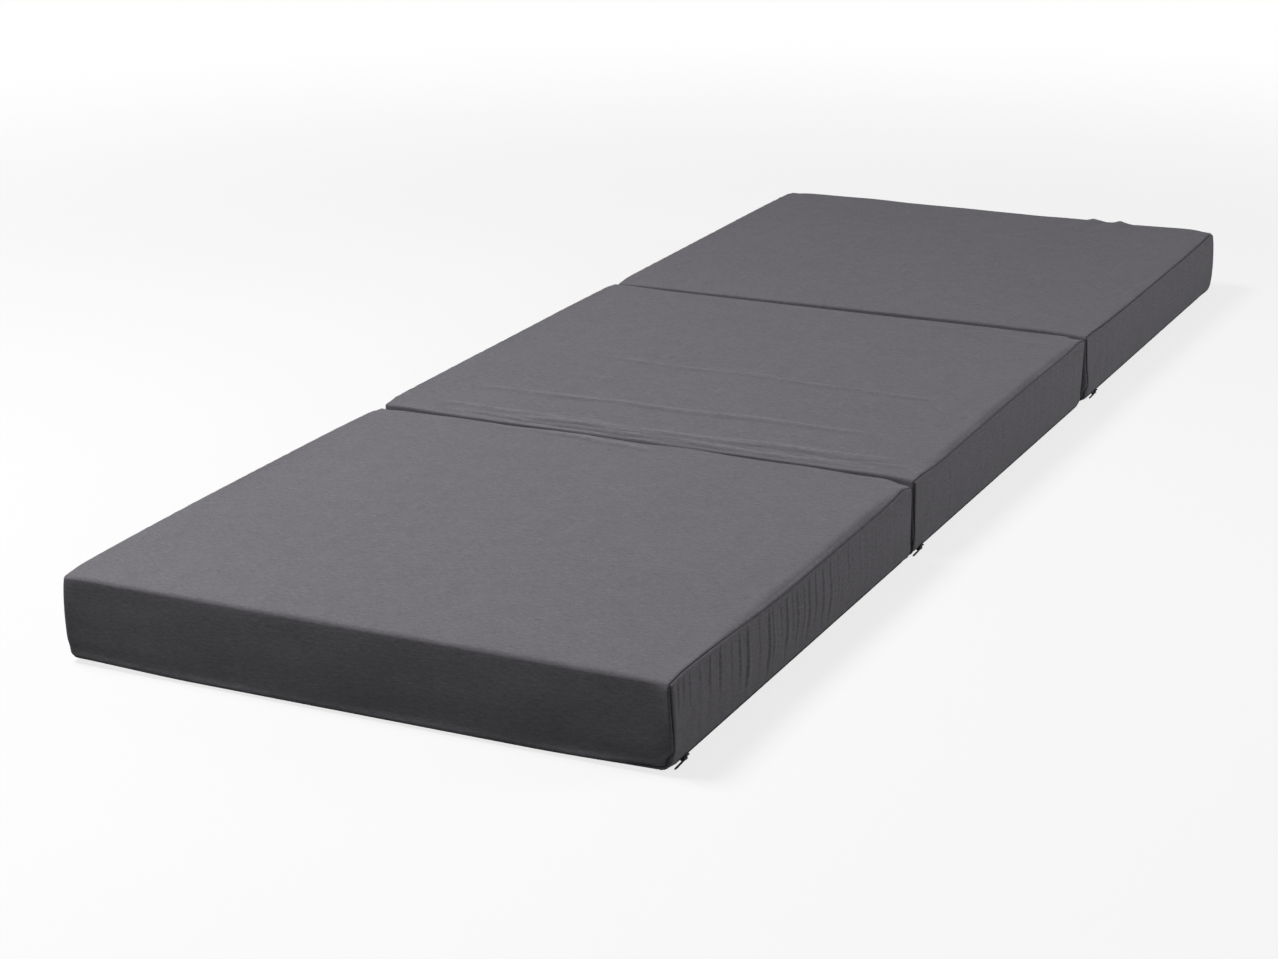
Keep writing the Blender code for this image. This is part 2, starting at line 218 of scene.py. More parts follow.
# Stretches of the section's length that are drawn more closely: from, to, pitch
MIDDLE_TOP_BANDS = [
    (-0.325, -0.255, 0.0013), (-0.210, -0.180, 0.0013), (-0.034, -0.016, 0.0013),
    (0.26, 0.31, 0.003),
]
FAR_TOP_BANDS = [(0.22, 0.33, 0.005)]
NEAR_TOP_BANDS = [(0.295, 0.33, 0.0018)]
BOTTOM_BANDS = [(-0.33, -0.27, 0.004), (0.27, 0.33, 0.004)]

# Places along an edge rounding, as shares of its eighth turn: closer together at a seam
SEAM_TURNS = (0.3, 0.55, 0.72, 0.83, 0.9, 0.95, 0.985, 1)
PLAIN_TURNS = (0.2, 0.4, 0.6, 0.8, 1)

BOX_HEIGHT = THICKNESS - CROWN_RISE
BOX_HALF_WIDTH = WIDTH / 2 - SIDE_BULGE
EIGHTH_TURN = math.pi / 4
ZIP_TURN = 3 * EIGHTH_TURN
FACET_INSET = ZIP_EDGE * (1 - math.cos(EIGHTH_TURN))
SEAM = SEAM_GAP / 2
TAPE_OUT = ZIP_EDGE - CLOTH - TAPE_UNDER_CLOTH
HEM_AT_COLUMN_END = 1
HEM_AT_ROW_START = 2

# An end of a section: its edge roundings, how far its face leans back at the top and bottom, its
# bulge, how high, where and how widely the filling holds up its top edge, how far its right top
# corner drops, and the share of the zip edge's rounding that is left at its corner
End = namedtuple(
    "End",
    "top_edge bottom_edge top_lean bottom_lean bulge crown crown_share crown_width"
    " right_drop zip_share",
)
FREE_END = End(FREE_TOP_EDGE, FREE_BOTTOM_EDGE, 0, 0, END_BULGE, 0, 0, 1, CORNER_DROP, 1)
LOW_FOLD_END = End(OPEN_TOP_EDGE, SEWN_EDGE, LOW_FOLD_LEAN, 0, 0, 0, 0, 1, CORNER_DROP, 1)
HIGH_FOLD_END = End(SEWN_EDGE, OPEN_BOTTOM_EDGE, 0, HIGH_FOLD_LEAN, 0, 0, 0, 1, CORNER_DROP, 1)

# A line of folded cloth on a top panel, from its start to its end, as shares of the panel's half
# width and half length, with its height and half width in metres
Crease = namedtuple("Crease", "x_share y_share end_x_share end_y_share height width")

# A gather below a side seam: its place as a share along the section, how deep and how long it is
# as shares of the deepest and longest, and its lean
Pleat = namedtuple("Pleat", "share depth_share length_share lean_share")

# Something that is spread along a section's right top edge: the most of it, how far from the near
# end and over what run it grows, and the power at which it fades towards both ends
Spread = namedtuple("Spread", "most start run power")

# The smaller fold the other way beside a fold: its height as a share of the fold's own, and its
# place and half width as shares of the fold's half width
Beside = namedtuple("Beside", "share place width")

# left_lift and right_lift are how far the top edges lie above their cut height, at the places of
# LIFT_SHARES. roll is how far the seam has slipped down, and slack is rounding added by loose cloth
Section = namedtuple(
    "Section",
    "name place near far park left_lift right_lift roll slack creases pleats top_bands",
)
LIFT_SHARES = (-1, -0.5, 0, 0.5, 1)
MOST_SLACK = 0.0055

# Gathers of the near section's right side, from the near end to the far one
PLEAT_DEPTH = 0.0018
PLEAT_WIDTH = 0.0019
PLEAT_LENGTH = 0.092
PLEAT_LEAN = 0.010
PLEAT_WANDER = 0.00025
PLEAT_WAVE = 0.011
PLEAT_PHASES = 40
PLEAT_START = 0.006
PLEAT_FADE_START = 0.55
PLEAT_TOP_WIDTH = 0.7
PLEAT_WIDENING = 0.9
PLEAT_BESIDE = Beside(0.4, 2.1, 1.3)
NEAR_PLEATS = [Pleat(*row) for row in (
    (-0.945, 0.55, 0.45, -1.38), (-0.905, 0.60, 0.40, -1.38), (-0.860, 0.50, 0.50, -1.26),
    (-0.790, 0.35, 0.35, -1.08), (-0.715, 0.60, 0.55, -1.08), (-0.640, 0.80, 0.65, -1.02),
    (-0.560, 0.30, 0.60, -0.90), (-0.500, 0.70, 0.70, -0.84), (-0.440, 0.90, 0.90, -0.84),
    (-0.350, 0.30, 0.70, -0.90), (-0.270, 0.85, 0.95, -0.90), (-0.238, 0.60, 0.85, -0.90),
    (-0.175, 0.35, 0.60, -0.90), (-0.127, 0.75, 0.90, -0.90), (-0.080, 0.35, 0.70, -0.90),
    (-0.043, 0.60, 0.85, -0.90), (0.010, 0.45, 0.80, -0.90), (0.053, 0.60, 0.90, -0.90),
    (0.105, 0.50, 0.80, -0.90), (0.167, 0.55, 0.85, -0.90), (0.232, 0.50, 0.95, -0.90),
    (0.300, 0.35, 0.80, -0.90), (0.393, 0.40, 0.60, -0.90), (0.500, 0.25, 0.70, -0.90),
    (0.640, 0.25, 0.60, -0.90), (0.780, 0.20, 0.50, -0.90),
)]

# Faint gathers of the sides that show only a few: their number and greatest depth, and the ranges
# of their spaces, depths, lengths and leans
FAINT_PLEATS = 18
FAINT_DEPTH = 0.16
FAINT_REACH = 0.95
FAINT_SPACES = (0.5, 1.6)
FAINT_DEPTHS = (0.5, 1.2)
FAINT_LENGTHS = (0.4, 1)
FAINT_LEANS = (-0.3, 0.4)

# Creases of the middle section's top, which was pressed by the fold. A height below 0 is a hollow
MIDDLE_CREASES = [Crease(*row) for row in (
    (-0.86, -0.632, 0.80, -0.576, 0.00121, 0.0035),
    (-0.60, -0.068, 0.88, -0.088, 0.00077, 0.0030),
    (-0.88, -0.862, -0.08, -0.874, 0.00094, 0.0033),
    (-0.62, -0.918, 0.96, -0.824, 0.00115, 0.0033),
    (-0.54, -0.905, 0.24, -0.912, 0.00083, 0.0028),
    (-0.44, -0.890, 0.44, -0.962, 0.00077, 0.0026),
    (-0.24, -0.932, 0.74, -0.962, 0.00083, 0.0026),
    (-0.80, -0.940, 0.04, -0.946, 0.00088, 0.0028),
    (-0.04, -0.890, 0.90, -0.856, 0.00094, 0.0030),
    (0.11, -0.940, 0.88, -0.950, 0.00077, 0.0026),
    (-0.34, -0.952, 0.39, -0.965, 0.00083, 0.0023),
    (0.56, -0.955, 0.97, -0.880, 0.00077, 0.0028),
    (0.55, 0.900, 0.92, 0.840, 0.00044, 0.0035),
    (0.30, 0.945, 0.90, 0.905, 0.00033, 0.0029),
    (-0.30, -0.760, 0.60, -0.735, 0.00028, 0.0032),
    (-0.46, -0.972, 0.08, -0.986, -0.0010, 0.0028),
    (-0.72, -0.955, -0.22, -0.968, -0.0008, 0.0026),
    (0.18, -0.925, 0.72, -0.945, -0.0007, 0.0024),
    (0.34, -0.895, 0.88, -0.918, -0.0006, 0.0024),
    (-0.70, -0.330, 0.30, -0.345, 0.00022, 0.0035),
)]

# Those that run on over the near section's far edge
NEAR_CREASES = [
    Crease(-0.34, 0.998, 0.12, 0.955, 0.0012, 0.0032),
    Crease(-0.60, 0.990, -0.10, 0.978, 0.0006, 0.0030),
]

# How a crease wanders, varies and fades, as shares of its half width, height and length
CREASE_WANDER = 0.7
CREASE_STRENGTH = 0.75
CREASE_CHANGE = 0.35
CREASE_FADE = 0.14
CREASE_WAVES = 5
CREASE_BESIDE = Beside(0.58, -3.0, 1.9)

# Two folds that stand up at the far end's top edge: place across and height. They run inwards
FAR_PUCKERS = ((0.480, 0.0036), (0.600, 0.0040))
FAR_PUCKER_WIDTH = 0.0070
FAR_PUCKER_RUN = 0.105
FAR_PUCKER_SLANT = 0.55
FAR_PUCKER_WIDENING = 1.2
FAR_PUCKER_POWER = 1.5
FAR_PUCKER_BESIDE = Beside(0.3, 1.7, 1)

# Small fold where the near end's cloth is tucked into its right corner
TUCK_HEIGHT_SHARE = 0.945
TUCK_SLANT = 0.15
TUCK_LENGTH = 0.020
TUCK_DEPTH = 0.0016
TUCK_WIDTH = 0.0016
TUCK_BESIDE = Beside(0.5, -2, 1.4)

# Waves of the cloth. The tops' waves are sunk, so that folded tops stay clear of each other
WAVE_SPREAD = (0.7, 1.6)
BROAD_HEIGHT = 0.0007
BROAD_LENGTH = 0.150
BROAD_SUNK = 1.0
SMALL_HEIGHT = 0.00022
SMALL_LENGTH = 0.045
SMALL_SUNK = 1.4
SMALL_STRETCH = (0.6, 1.4, 1)
STREAK_LENGTH = 0.020
STREAK_SLANT = 0.02
STREAK_TOP_FADE = 0.010
STREAK_BOTTOM_FADE = 0.020
SIDE_WAVE_SHARE = 0.6

# How far the corner seams beside the zip have slipped round towards it, and where that starts
CORNER_ROLL = math.radians(36)
CORNER_ROLL_START = 0.3

# Painted light in the cloth's colour. Folds are painted lighter on their ridges as a painted
# highlight and darker in their grooves as painted shade; seams get painted shade, the top edge over
# each end a painted highlight, and the rolled band at the right top edge painted shade. The first
# four are shares of the colour per metre of height
CREASE_PAINTED_LIGHT = 250
PLEAT_PAINTED_LIGHT = 80
FAR_PUCKER_PAINTED_LIGHT = 34
TUCK_PAINTED_LIGHT = 90
TONE_LIMIT = 0.26
SEAM_PAINTED_SHADE = 0.42
SEAM_PAINTED_SHADE_REACH = 0.0011
SLACK_SEAM_DEPTH = 0.45
SLACK_SHADE = 0.26
SLACK_SHADE_START = math.radians(12)
SLACK_SHADE_END = math.radians(42)
EDGE_PAINTED_HIGHLIGHT = 0.07
EDGE_TILT = math.radians(25)
EDGE_TILT_SPREAD = math.radians(14)

# Starts of the random draws, to which a section's place is added
BROAD_SEED = 11
SMALL_SEED = 21
SIDE_SEED = 31
PLEAT_SEED = 40
STREAK_SEED = 51
BOTTOM_SEED = 61
PUCKER_SEED = 71
STRIP_SEED = 91

NEAR = Section(
    "near", -1, FREE_END,
    LOW_FOLD_END._replace(crown=0.0022, crown_width=0.5, right_drop=0.0075), NEAR_PARK,
    (-0.0004, 0.0028, 0.0034, 0.0030, 0.0000), (-0.0004, -0.0010, -0.0010, 0.0002, 0.0000),
    Spread(math.radians(26), 0.98, 0.9, 8), Spread(0.0065, 1, 0.7, 8),
    NEAR_CREASES, NEAR_PLEATS, NEAR_TOP_BANDS,
)
MIDDLE = Section(
    "middle", 0, LOW_FOLD_END,
    HIGH_FOLD_END._replace(top_edge=0.010, right_drop=0.0050), MIDDLE_PARK,
    (0.0032, 0.0036, 0.0034, 0.0032, 0.0016), (-0.0010, 0.0012, 0.0040, 0.0040, 0.0006),
    Spread(math.radians(24), 1, 0, 8), Spread(0.0055, 1, 0, 8),
    MIDDLE_CREASES, [], MIDDLE_TOP_BANDS,
)
FAR = Section(
    "far", 1, HIGH_FOLD_END._replace(crown=0.0018, crown_share=0.45, crown_width=0.8),
    FREE_END._replace(right_drop=0.0040, zip_share=0.7), FAR_PARK,
    (0.0003, 0.0006, 0.0006, 0.0004, -0.0014), (-0.0002, -0.0008, -0.0008, -0.0004, 0.0004),
    Spread(math.radians(28), 1, 0, 8), Spread(0.002, 1, 0, 4),
    [], [], FAR_TOP_BANDS,
)
SECTIONS = (NEAR, MIDDLE, FAR)


def section_y(section):
    return section.place * PITCH


def blend(start, end, share):
    return start + (end - start) * share


def ease(share):
    share = np.clip(share, 0, 1)
    return share * share * (3 - 2 * share)


def past(share, start):
    """Rises smoothly from 0 where a share reaches start to 1 where it reaches 1."""
    return ease((share - start) / (1 - start))


def bell(distance, width):
    return np.exp(-((distance / width) ** 2))


def fold_shape(distance, width, beside):
    """Height of a fold of height 1 and of the smaller one that lies the other way beside it."""
    return bell(distance, width) - beside.share * bell(
        distance - beside.place * width, beside.width * width
    )


def spread(part, along):
    grown = ease((along + part.start) / part.run) if part.run else 1
    return part.most * grown * (1 - along**part.power)


def slack_share(section, places):
    """How slack the cloth is over the right top edge, from 0 to 1, at each cube place."""
    slack = spread(section.slack, places[..., 1, 0])
    return np.where(places[..., 0, 0] > 0, ease(slack / MOST_SLACK), 0)


def grid_of(x, y, z):
    return np.stack(np.broadcast_arrays(x, y, z), axis=-1)


# Shape of a filled cover: a box with rounded edges, named by places on a cube


def section_box(section):
    """Low and high corner of a section before it swells, about the section's own centre."""
    near = -SECTION_LENGTH / 2 + section.near.bulge
    far = SECTION_LENGTH / 2 - section.far.bulge
    return np.array([-BOX_HALF_WIDTH, near, 0]), np.array([BOX_HALF_WIDTH, far, BOX_HEIGHT])


def edge_radii(section, share, zip_edge=ZIP_EDGE):
    """Rounding along x, y and z at each place, which is a share of the box from -1 to 1."""
    near, far = section.near, section.far
    up = ease((share[..., 2] + 1) / 2)
    along = ease((share[..., 1] + 1) / 2)
    inner = ease((1 - abs(share[..., 0])) * BOX_HALF_WIDTH / CORNER_REACH)
    zip_side = share[..., 0] > 0
    ends = np.where(share[..., 1] > 0, far.zip_share, near.zip_share)
    closing = past(abs(share[..., 1]), ZIP_END_START)
    low = np.where(zip_side, zip_edge * blend(1, ends, closing), BOTTOM_EDGE)
    high = np.where(zip_side, RIGHT_TOP_EDGE + spread(section.slack, share[..., 1]), LEFT_TOP_EDGE)
    across = blend(low, high, up)
    at_near = blend(near.bottom_edge, near.top_edge, up)
    at_far = blend(far.bottom_edge, far.top_edge, up)
    length = blend(at_near, at_far, along)
    return np.stack([across, length, blend(across, length, inner)], axis=-1)


def end_shift(end, across, up):
    """How far an end face stands out past its flat place, by its bulge and its lean."""
    lean = blend(end.bottom_lean, end.top_lean, up)
    return end.bulge * (1 - across**2) * np.sin(math.pi * up) - lean


def edge_lift(section, across, along):
    """How far the filling lifts or drops the top along its left and right edges."""
    degree = len(LIFT_SHARES) - 1
    lifts = (section.left_lift, section.right_lift)
    left, right = [np.polyval(np.polyfit(LIFT_SHARES, lift, degree), along) for lift in lifts]
    return abs(across) ** EDGE_LIFT_POWER * np.where(across < 0, left, right)


def settle(section, points):
    """Points of the rounded box moved as the filling swells the cover."""
    low, high = section_box(section)
    points = np.array(points, float)
    across = np.clip(points[..., 0] / BOX_HALF_WIDTH, -1, 1)
    along = np.clip((2 * points[..., 1] - low[1] - high[1]) / (high[1] - low[1]), -1, 1)
    up = np.clip(points[..., 2] / BOX_HEIGHT, 0, 1)
    belly = np.sin(math.pi * up) ** BELLY_POWER
    points[..., 0] += SIDE_BULGE * across * (1 - along**2) * belly

    free = np.where(along > 0, section.far.bulge > 0, section.near.bulge > 0) * along**4 * across**4
    full = np.sin(math.pi * up) ** PUFF_POWER * ease((points[..., 2] - PUFF_START) / PUFF_RUN)
    puff = CORNER_PUFF * free * full
    points[..., 0] += puff * np.sign(across)
    points[..., 1] += PUFF_ALONG * puff * np.sign(along)
    points[..., 1] += np.clip(along, 0, 1) ** 2 * end_shift(section.far, across, up)
    points[..., 1] -= np.clip(-along, 0, 1) ** 2 * end_shift(section.near, across, up)

    points[..., 2] += CROWN_RISE * (1 - across**2) * (1 - along**2) * up
    for end, share in ((section.near, -along), (section.far, along)):
        crown = end.crown * bell(across - end.crown_share, end.crown_width)
        points[..., 2] += crown * np.clip(share, 0, 1) ** 2 * (1 - across**8) * up
    points[..., 2] += edge_lift(section, across, along) * up**2
    start = np.where(across < 0, RISE_START_LEFT, RISE_START_RIGHT)
    corner = past(abs(across), RISE_START_ACROSS) * past(abs(along), start) * (free > 0)
    points[..., 2] += CORNER_RISE * corner * (1 - ease(points[..., 2] / CORNER_RISE_UP))
    right_drop = np.where(along > 0, section.far.right_drop, section.near.right_drop)
    drop = np.where(across > 0, right_drop, CORNER_DROP)
    points[..., 2] -= drop * past(abs(across), DROP_START) * past(abs(along), DROP_START) * up**4
    return points


def surface(section, places, limits, inset=0.0, zip_edge=ZIP_EDGE):
    """Points for cube places. A place holds, for x, y and z, its share of the straight run and its
    share of the turn round the edge, and limits gives how far each full turn goes, in radians."""
    centre, turn = places[..., 0], places[..., 1]
    low, high = section_box(section)
    radius = edge_radii(section, centre, zip_edge)
    reach = np.tan(turn * limits)
    normal = reach / np.linalg.norm(reach, axis=-1, keepdims=True)
    straight = (low + high) / 2 + centre * ((high - low) / 2 - radius)
    return settle(section, straight + (radius - inset) * normal)


def shares(length, pitch, bands=()):
    """Shares from -1 to 1 about pitch apart; a band (low, high, pitch) in metres is closer drawn."""
    places = [-length / 2]
    while places[-1] < length / 2:
        at = places[-1]
        fine = [closer for low, high, closer in bands if low - pitch <= at <= high]
        places.append(at + min(fine + [pitch]))
    places = np.array(places)
    return (places - places[0]) / (places[-1] - places[0]) * 2 - 1


def stations(straight, low_turns, high_turns):
    """Places along one axis: round the low edge, along the straight run, round the high edge."""
    low = [(-1, -turn) for turn in reversed(low_turns)]
    high = [(1, turn) for turn in high_turns]
    return np.array(low + [(share, 0) for share in straight] + high, float)


def face_places(axis, side, columns, rows):
    """Cube places of the face that lies to one side of an axis, from stations on the other axes."""
    column_axis, row_axis = [other for other in range(3) if other != axis]
    places = np.zeros((len(rows), len(columns), 3, 2))
    places[..., axis, :] = side
    places[..., column_axis, :] = columns[None]
    places[..., row_axis, :] = rows[:, None]
    return places


def top_places(section):
    """Cube places of the top panel: up the near end, over the top, down the far end."""
    columns = stations(shares(WIDTH, TOP_PITCH_ACROSS), SEAM_TURNS, SEAM_TURNS)
    over = shares(SECTION_LENGTH, TOP_PITCH_ALONG, section.top_bands)
    over = stations(over, PLAIN_TURNS, PLAIN_TURNS)[1:-1]
    rising = stations(shares(THICKNESS, TOP_PITCH_UP), SEAM_TURNS, PLAIN_TURNS)
    end, top = np.ones(rising.shape), np.ones(over.shape)
    places = face_places(2, 1, columns, np.vstack([-end, over, end]))
    places[..., 2, :] = np.vstack([rising, top, rising[::-1]])[:, None]
    return places


def side_places(section, side):
    pitch = PLEATED_PITCH if section.pleats and side > 0 else SIDE_PITCH
    columns = stations(shares(SECTION_LENGTH, pitch), SEAM_TURNS, SEAM_TURNS)
    rows = stations(shares(THICKNESS, SIDE_ROW_PITCH), SEAM_TURNS, SEAM_TURNS)
    return face_places(0, side, columns, rows)


def bottom_places():
    columns = stations(shares(WIDTH, BOTTOM_PITCH), SEAM_TURNS, SEAM_TURNS)
    rows = stations(shares(SECTION_LENGTH, BOTTOM_PITCH, BOTTOM_BANDS), SEAM_TURNS, SEAM_TURNS)
    return face_places(2, -1, columns, rows)


# Relief of the cloth: broad waves, gathers and creases, with the painted highlight and painted shade
# of each


def ripples(points, length, seed, waves=16):
    """A smooth random height of about -1 to 1 whose waves are about length long."""
    chance = np.random.default_rng(seed)
    total = np.zeros(points.shape[:-1])
    for _ in range(waves):
        way = chance.normal(size=points.shape[-1])
        way /= np.linalg.norm(way)
        wave = length * chance.uniform(*WAVE_SPREAD)
        total += np.sin(points @ way * (2 * math.pi / wave) + chance.uniform(0, 2 * math.pi))
    return total / math.sqrt(waves)


def crease_height(crease, x_share, y_share, seed):
    """Height of a crease, with a line that wanders a little and fades at its ends."""
    scale = np.array([BOX_HALF_WIDTH, SECTION_LENGTH / 2])
    start = np.array([crease.x_share, crease.y_share]) * scale
    run = np.array([crease.end_x_share, crease.end_y_share]) * scale - start
    length = np.linalg.norm(run)
    place = np.stack([x_share * scale[0], y_share * scale[1]], axis=-1) - start
    share = place @ run / length**2
    aside = (place[..., 1] * run[0] - place[..., 0] * run[1]) / length
    along = share[..., None] * length
    wander = CREASE_WANDER * crease.width * ripples(along, length / 3, seed, CREASE_WAVES)
    change = CREASE_CHANGE * ripples(along, length / 5, seed + 1, CREASE_WAVES)
    fade = ease(share / CREASE_FADE) * ease((1 - share) / CREASE_FADE)
    shape = fold_shape(aside - wander, crease.width, CREASE_BESIDE)
    return crease.height * shape * fade * (CREASE_STRENGTH + change)


def far_puckers(x, y):
    """Height of the folds that radiate from the far top edge towards the near left."""
    back = section_box(FAR)[1][1] - y
    inwards = np.clip(back, 0, None)
    width = FAR_PUCKER_WIDTH * (1 + FAR_PUCKER_WIDENING * inwards / FAR_PUCKER_RUN)
    fade = (1 - ease(back / FAR_PUCKER_RUN)) ** FAR_PUCKER_POWER
    total = np.zeros(x.shape)
    for share, height in FAR_PUCKERS:
        line = share * BOX_HALF_WIDTH - FAR_PUCKER_SLANT * inwards
        total += height * fold_shape(x - line, width, FAR_PUCKER_BESIDE) * fade
    return total


def corner_tuck(x, z, places):
    on_front = (places[..., 1, 0] == -1) & (places[..., 1, 1] == -1)
    line = TUCK_HEIGHT_SHARE * BOX_HEIGHT - TUCK_SLANT * (BOX_HALF_WIDTH - x)
    fade = ease((x - BOX_HALF_WIDTH + TUCK_LENGTH) / TUCK_LENGTH)
    return -TUCK_DEPTH * fade * fold_shape(z - line, TUCK_WIDTH, TUCK_BESIDE) * on_front


def top_relief(section, places, points, grid):
    x, y, z = np.moveaxis(points, -1, 0)
    on_top = places[..., 2, 1] == 1
    waves = ripples(points, BROAD_LENGTH, section.place + BROAD_SEED)
    height = BROAD_HEIGHT * (np.clip(waves, -2, 1) - BROAD_SUNK)
    waves = ripples(points * np.array(SMALL_STRETCH), SMALL_LENGTH, section.place + SMALL_SEED)
    height += SMALL_HEIGHT * (waves - SMALL_SUNK)
    folds = []
    for number, crease in enumerate(section.creases):
        line = crease_height(crease, places[..., 0, 0], places[..., 1, 0], number)
        folds.append((CREASE_PAINTED_LIGHT, line * on_top))
    if section is FAR:
        upper = ease((z - BOX_HEIGHT / 2) / (BOX_HEIGHT / 2))
        folds.append((FAR_PUCKER_PAINTED_LIGHT, far_puckers(x, y) * upper))
    if section is NEAR:
        folds.append((TUCK_PAINTED_LIGHT, corner_tuck(x, z, places)))
    # Painted light: each fold's ridge is painted lighter as a highlight and its groove darker as
    # shade
    tone = np.zeros(height.shape)
    for shade, fold in folds:
        height += fold
        tone += shade * fold

    # Painted highlight along the top edge over each end
    turned = np.tan(EIGHTH_TURN * places[..., 1])
    over_end = np.arctan2(-turned[..., 1], turned[..., 2])
    tone += EDGE_PAINTED_HIGHLIGHT * bell(over_end - EDGE_TILT, EDGE_TILT_SPREAD)
    # Painted shade on the band where the loose cloth rolls over the right top edge
    turned = np.tan(turn_limits(section, places, "top") * places[..., 1])
    over_side = np.arctan2(turned[..., 0], turned[..., 2])
    shaded = ease((over_side - SLACK_SHADE_START) / (SLACK_SHADE_END - SLACK_SHADE_START))
    tone -= SLACK_SHADE * shaded * slack_share(section, places) * on_top
    return height, np.clip(tone, -TONE_LIMIT, TONE_LIMIT)


def pleat_depth(pleat, y, below_seam):
    """Depth of one gather on a side panel: a groove with a ridge beside it, fading downwards."""
    length = PLEAT_LENGTH * pleat.length_share
    wander = PLEAT_WANDER * np.sin(below_seam / PLEAT_WAVE + PLEAT_PHASES * pleat.share)
    lean = pleat.lean_share * PLEAT_LEAN * below_seam / PLEAT_LENGTH
    line = pleat.share * SECTION_LENGTH / 2 + lean + wander
    width = PLEAT_WIDTH * (PLEAT_TOP_WIDTH + PLEAT_WIDENING * below_seam / PLEAT_LENGTH)
    fade = ease(below_seam / PLEAT_START) * (1 - past(below_seam / length, PLEAT_FADE_START))
    return PLEAT_DEPTH * pleat.depth_share * fade * fold_shape(y - line, width, PLEAT_BESIDE)


def faint_pleats(seed):
    """Unevenly spaced gathers for a side that shows only a few."""
    chance = np.random.default_rng(seed)
    spaces = chance.uniform(*FAINT_SPACES, FAINT_PLEATS + 1)
    places = FAINT_REACH * (2 * np.cumsum(spaces)[:-1] / spaces.sum() - 1)
    ranges = (FAINT_DEPTHS, FAINT_LENGTHS, FAINT_LEANS)
    drawn = [(place, *[chance.uniform(*limits) for limits in ranges]) for place in places]
    return [Pleat(place, FAINT_DEPTH * depth, length, lean) for place, depth, length, lean in drawn]


def side_relief(section, places, points, grid):
    right = int(places[0, 0, 0, 0] > 0)
    pleats = section.pleats
    if not (pleats and right):
        pleats = faint_pleats(section.place * 2 + right + PLEAT_SEED)
    seed = section.place + right
    height = SIDE_WAVE_SHARE * BROAD_HEIGHT * ripples(points, BROAD_LENGTH, seed + SIDE_SEED)
    slanted = points[..., 1:2] + STREAK_SLANT * points[..., 2:]
    streaks = SIDE_WAVE_SHARE * SMALL_HEIGHT * ripples(slanted, STREAK_LENGTH, seed + STREAK_SEED)
    streaks *= ease(grid.to_row_end / STREAK_TOP_FADE)
    height += streaks * ease(grid.to_row_start / STREAK_BOTTOM_FADE)
    tone = np.zeros(height.shape)
    for pleat in pleats:
        depth = pleat_depth(pleat, points[..., 1], grid.to_row_end)
        height -= depth
        # Painted shade in each gather's groove, and a painted highlight on the ridge beside it
        tone -= PLEAT_PAINTED_LIGHT * depth
    return height, np.clip(tone, -TONE_LIMIT, TONE_LIMIT)


def bottom_relief(section, places, points, grid):
    """The underside is pressed flat, with shallow wrinkles that only go inwards."""
    waves = ripples(points, SMALL_LENGTH, section.place + BOTTOM_SEED)
    return -SMALL_HEIGHT * (1 + np.clip(waves, -1, 1)) / 2, np.zeros(waves.shape)


# Cloth panels


class Grid:
    """Arc lengths over a grid of points: along its columns and rows, to each of its four edges."""

    def __init__(self, points):
        across = np.linalg.norm(np.diff(points, axis=1), axis=-1)
        along = np.linalg.norm(np.diff(points, axis=0), axis=-1)
        self.to_column_start = np.pad(np.cumsum(across, axis=1), ((0, 0), (1, 0)))
        self.to_row_start = np.pad(np.cumsum(along, axis=0), ((1, 0), (0, 0)))
        self.to_column_end = self.to_column_start[:, -1:] - self.to_column_start
        self.to_row_end = self.to_row_start[-1:] - self.to_row_start

    def edges(self):
        return [self.to_column_start, self.to_column_end, self.to_row_start, self.to_row_end]


def outward_normals(points, middle):
    normal = np.cross(np.gradient(points, axis=1), np.gradient(points, axis=0))
    normal /= np.linalg.norm(normal, axis=-1, keepdims=True)
    facing = np.sum(normal * (points - middle), axis=-1).mean()
    return normal if facing > 0 else -normal


def dive(distance, roll):
    """How deep the cloth goes down a quarter circle into an edge."""
    inside = np.clip(1 - distance / roll, 0, 1)
    return roll * (1 - np.sqrt(1 - inside**2))


def pucker(points, grid, seed):
    """Small gathers that the stitches draw into the cloth beside its seams."""
    beside = np.minimum(grid.to_column_start, grid.to_column_end)
    over = np.minimum(grid.to_row_start, grid.to_row_end)
    along = ripples(points[..., 1:2], PUCKER_LENGTH, seed)
    across = ripples(points[..., 0:1] + points[..., 2:3], PUCKER_LENGTH, seed + 1)
    rise = np.exp(-beside / PUCKER_REACH) * along * ease(beside / PUCKER_START)
    rise += np.exp(-over / PUCKER_REACH) * across * ease(over / PUCKER_START)
    return PUCKER_HEIGHT * rise


def tuck(values, drop=0):
    """A grid with one more ring of values round it, lowered by drop on that ring."""
    depth = np.pad(np.zeros(values.shape[:2]), 1, constant_values=1)[..., None]
    return np.pad(values, ((1, 1), (1, 1), (0, 0)), mode="edge") - depth * drop


def linked(name, data):
    thing = bpy.data.objects.new(name, data)
    bpy.context.scene.collection.objects.link(thing)
    return thing


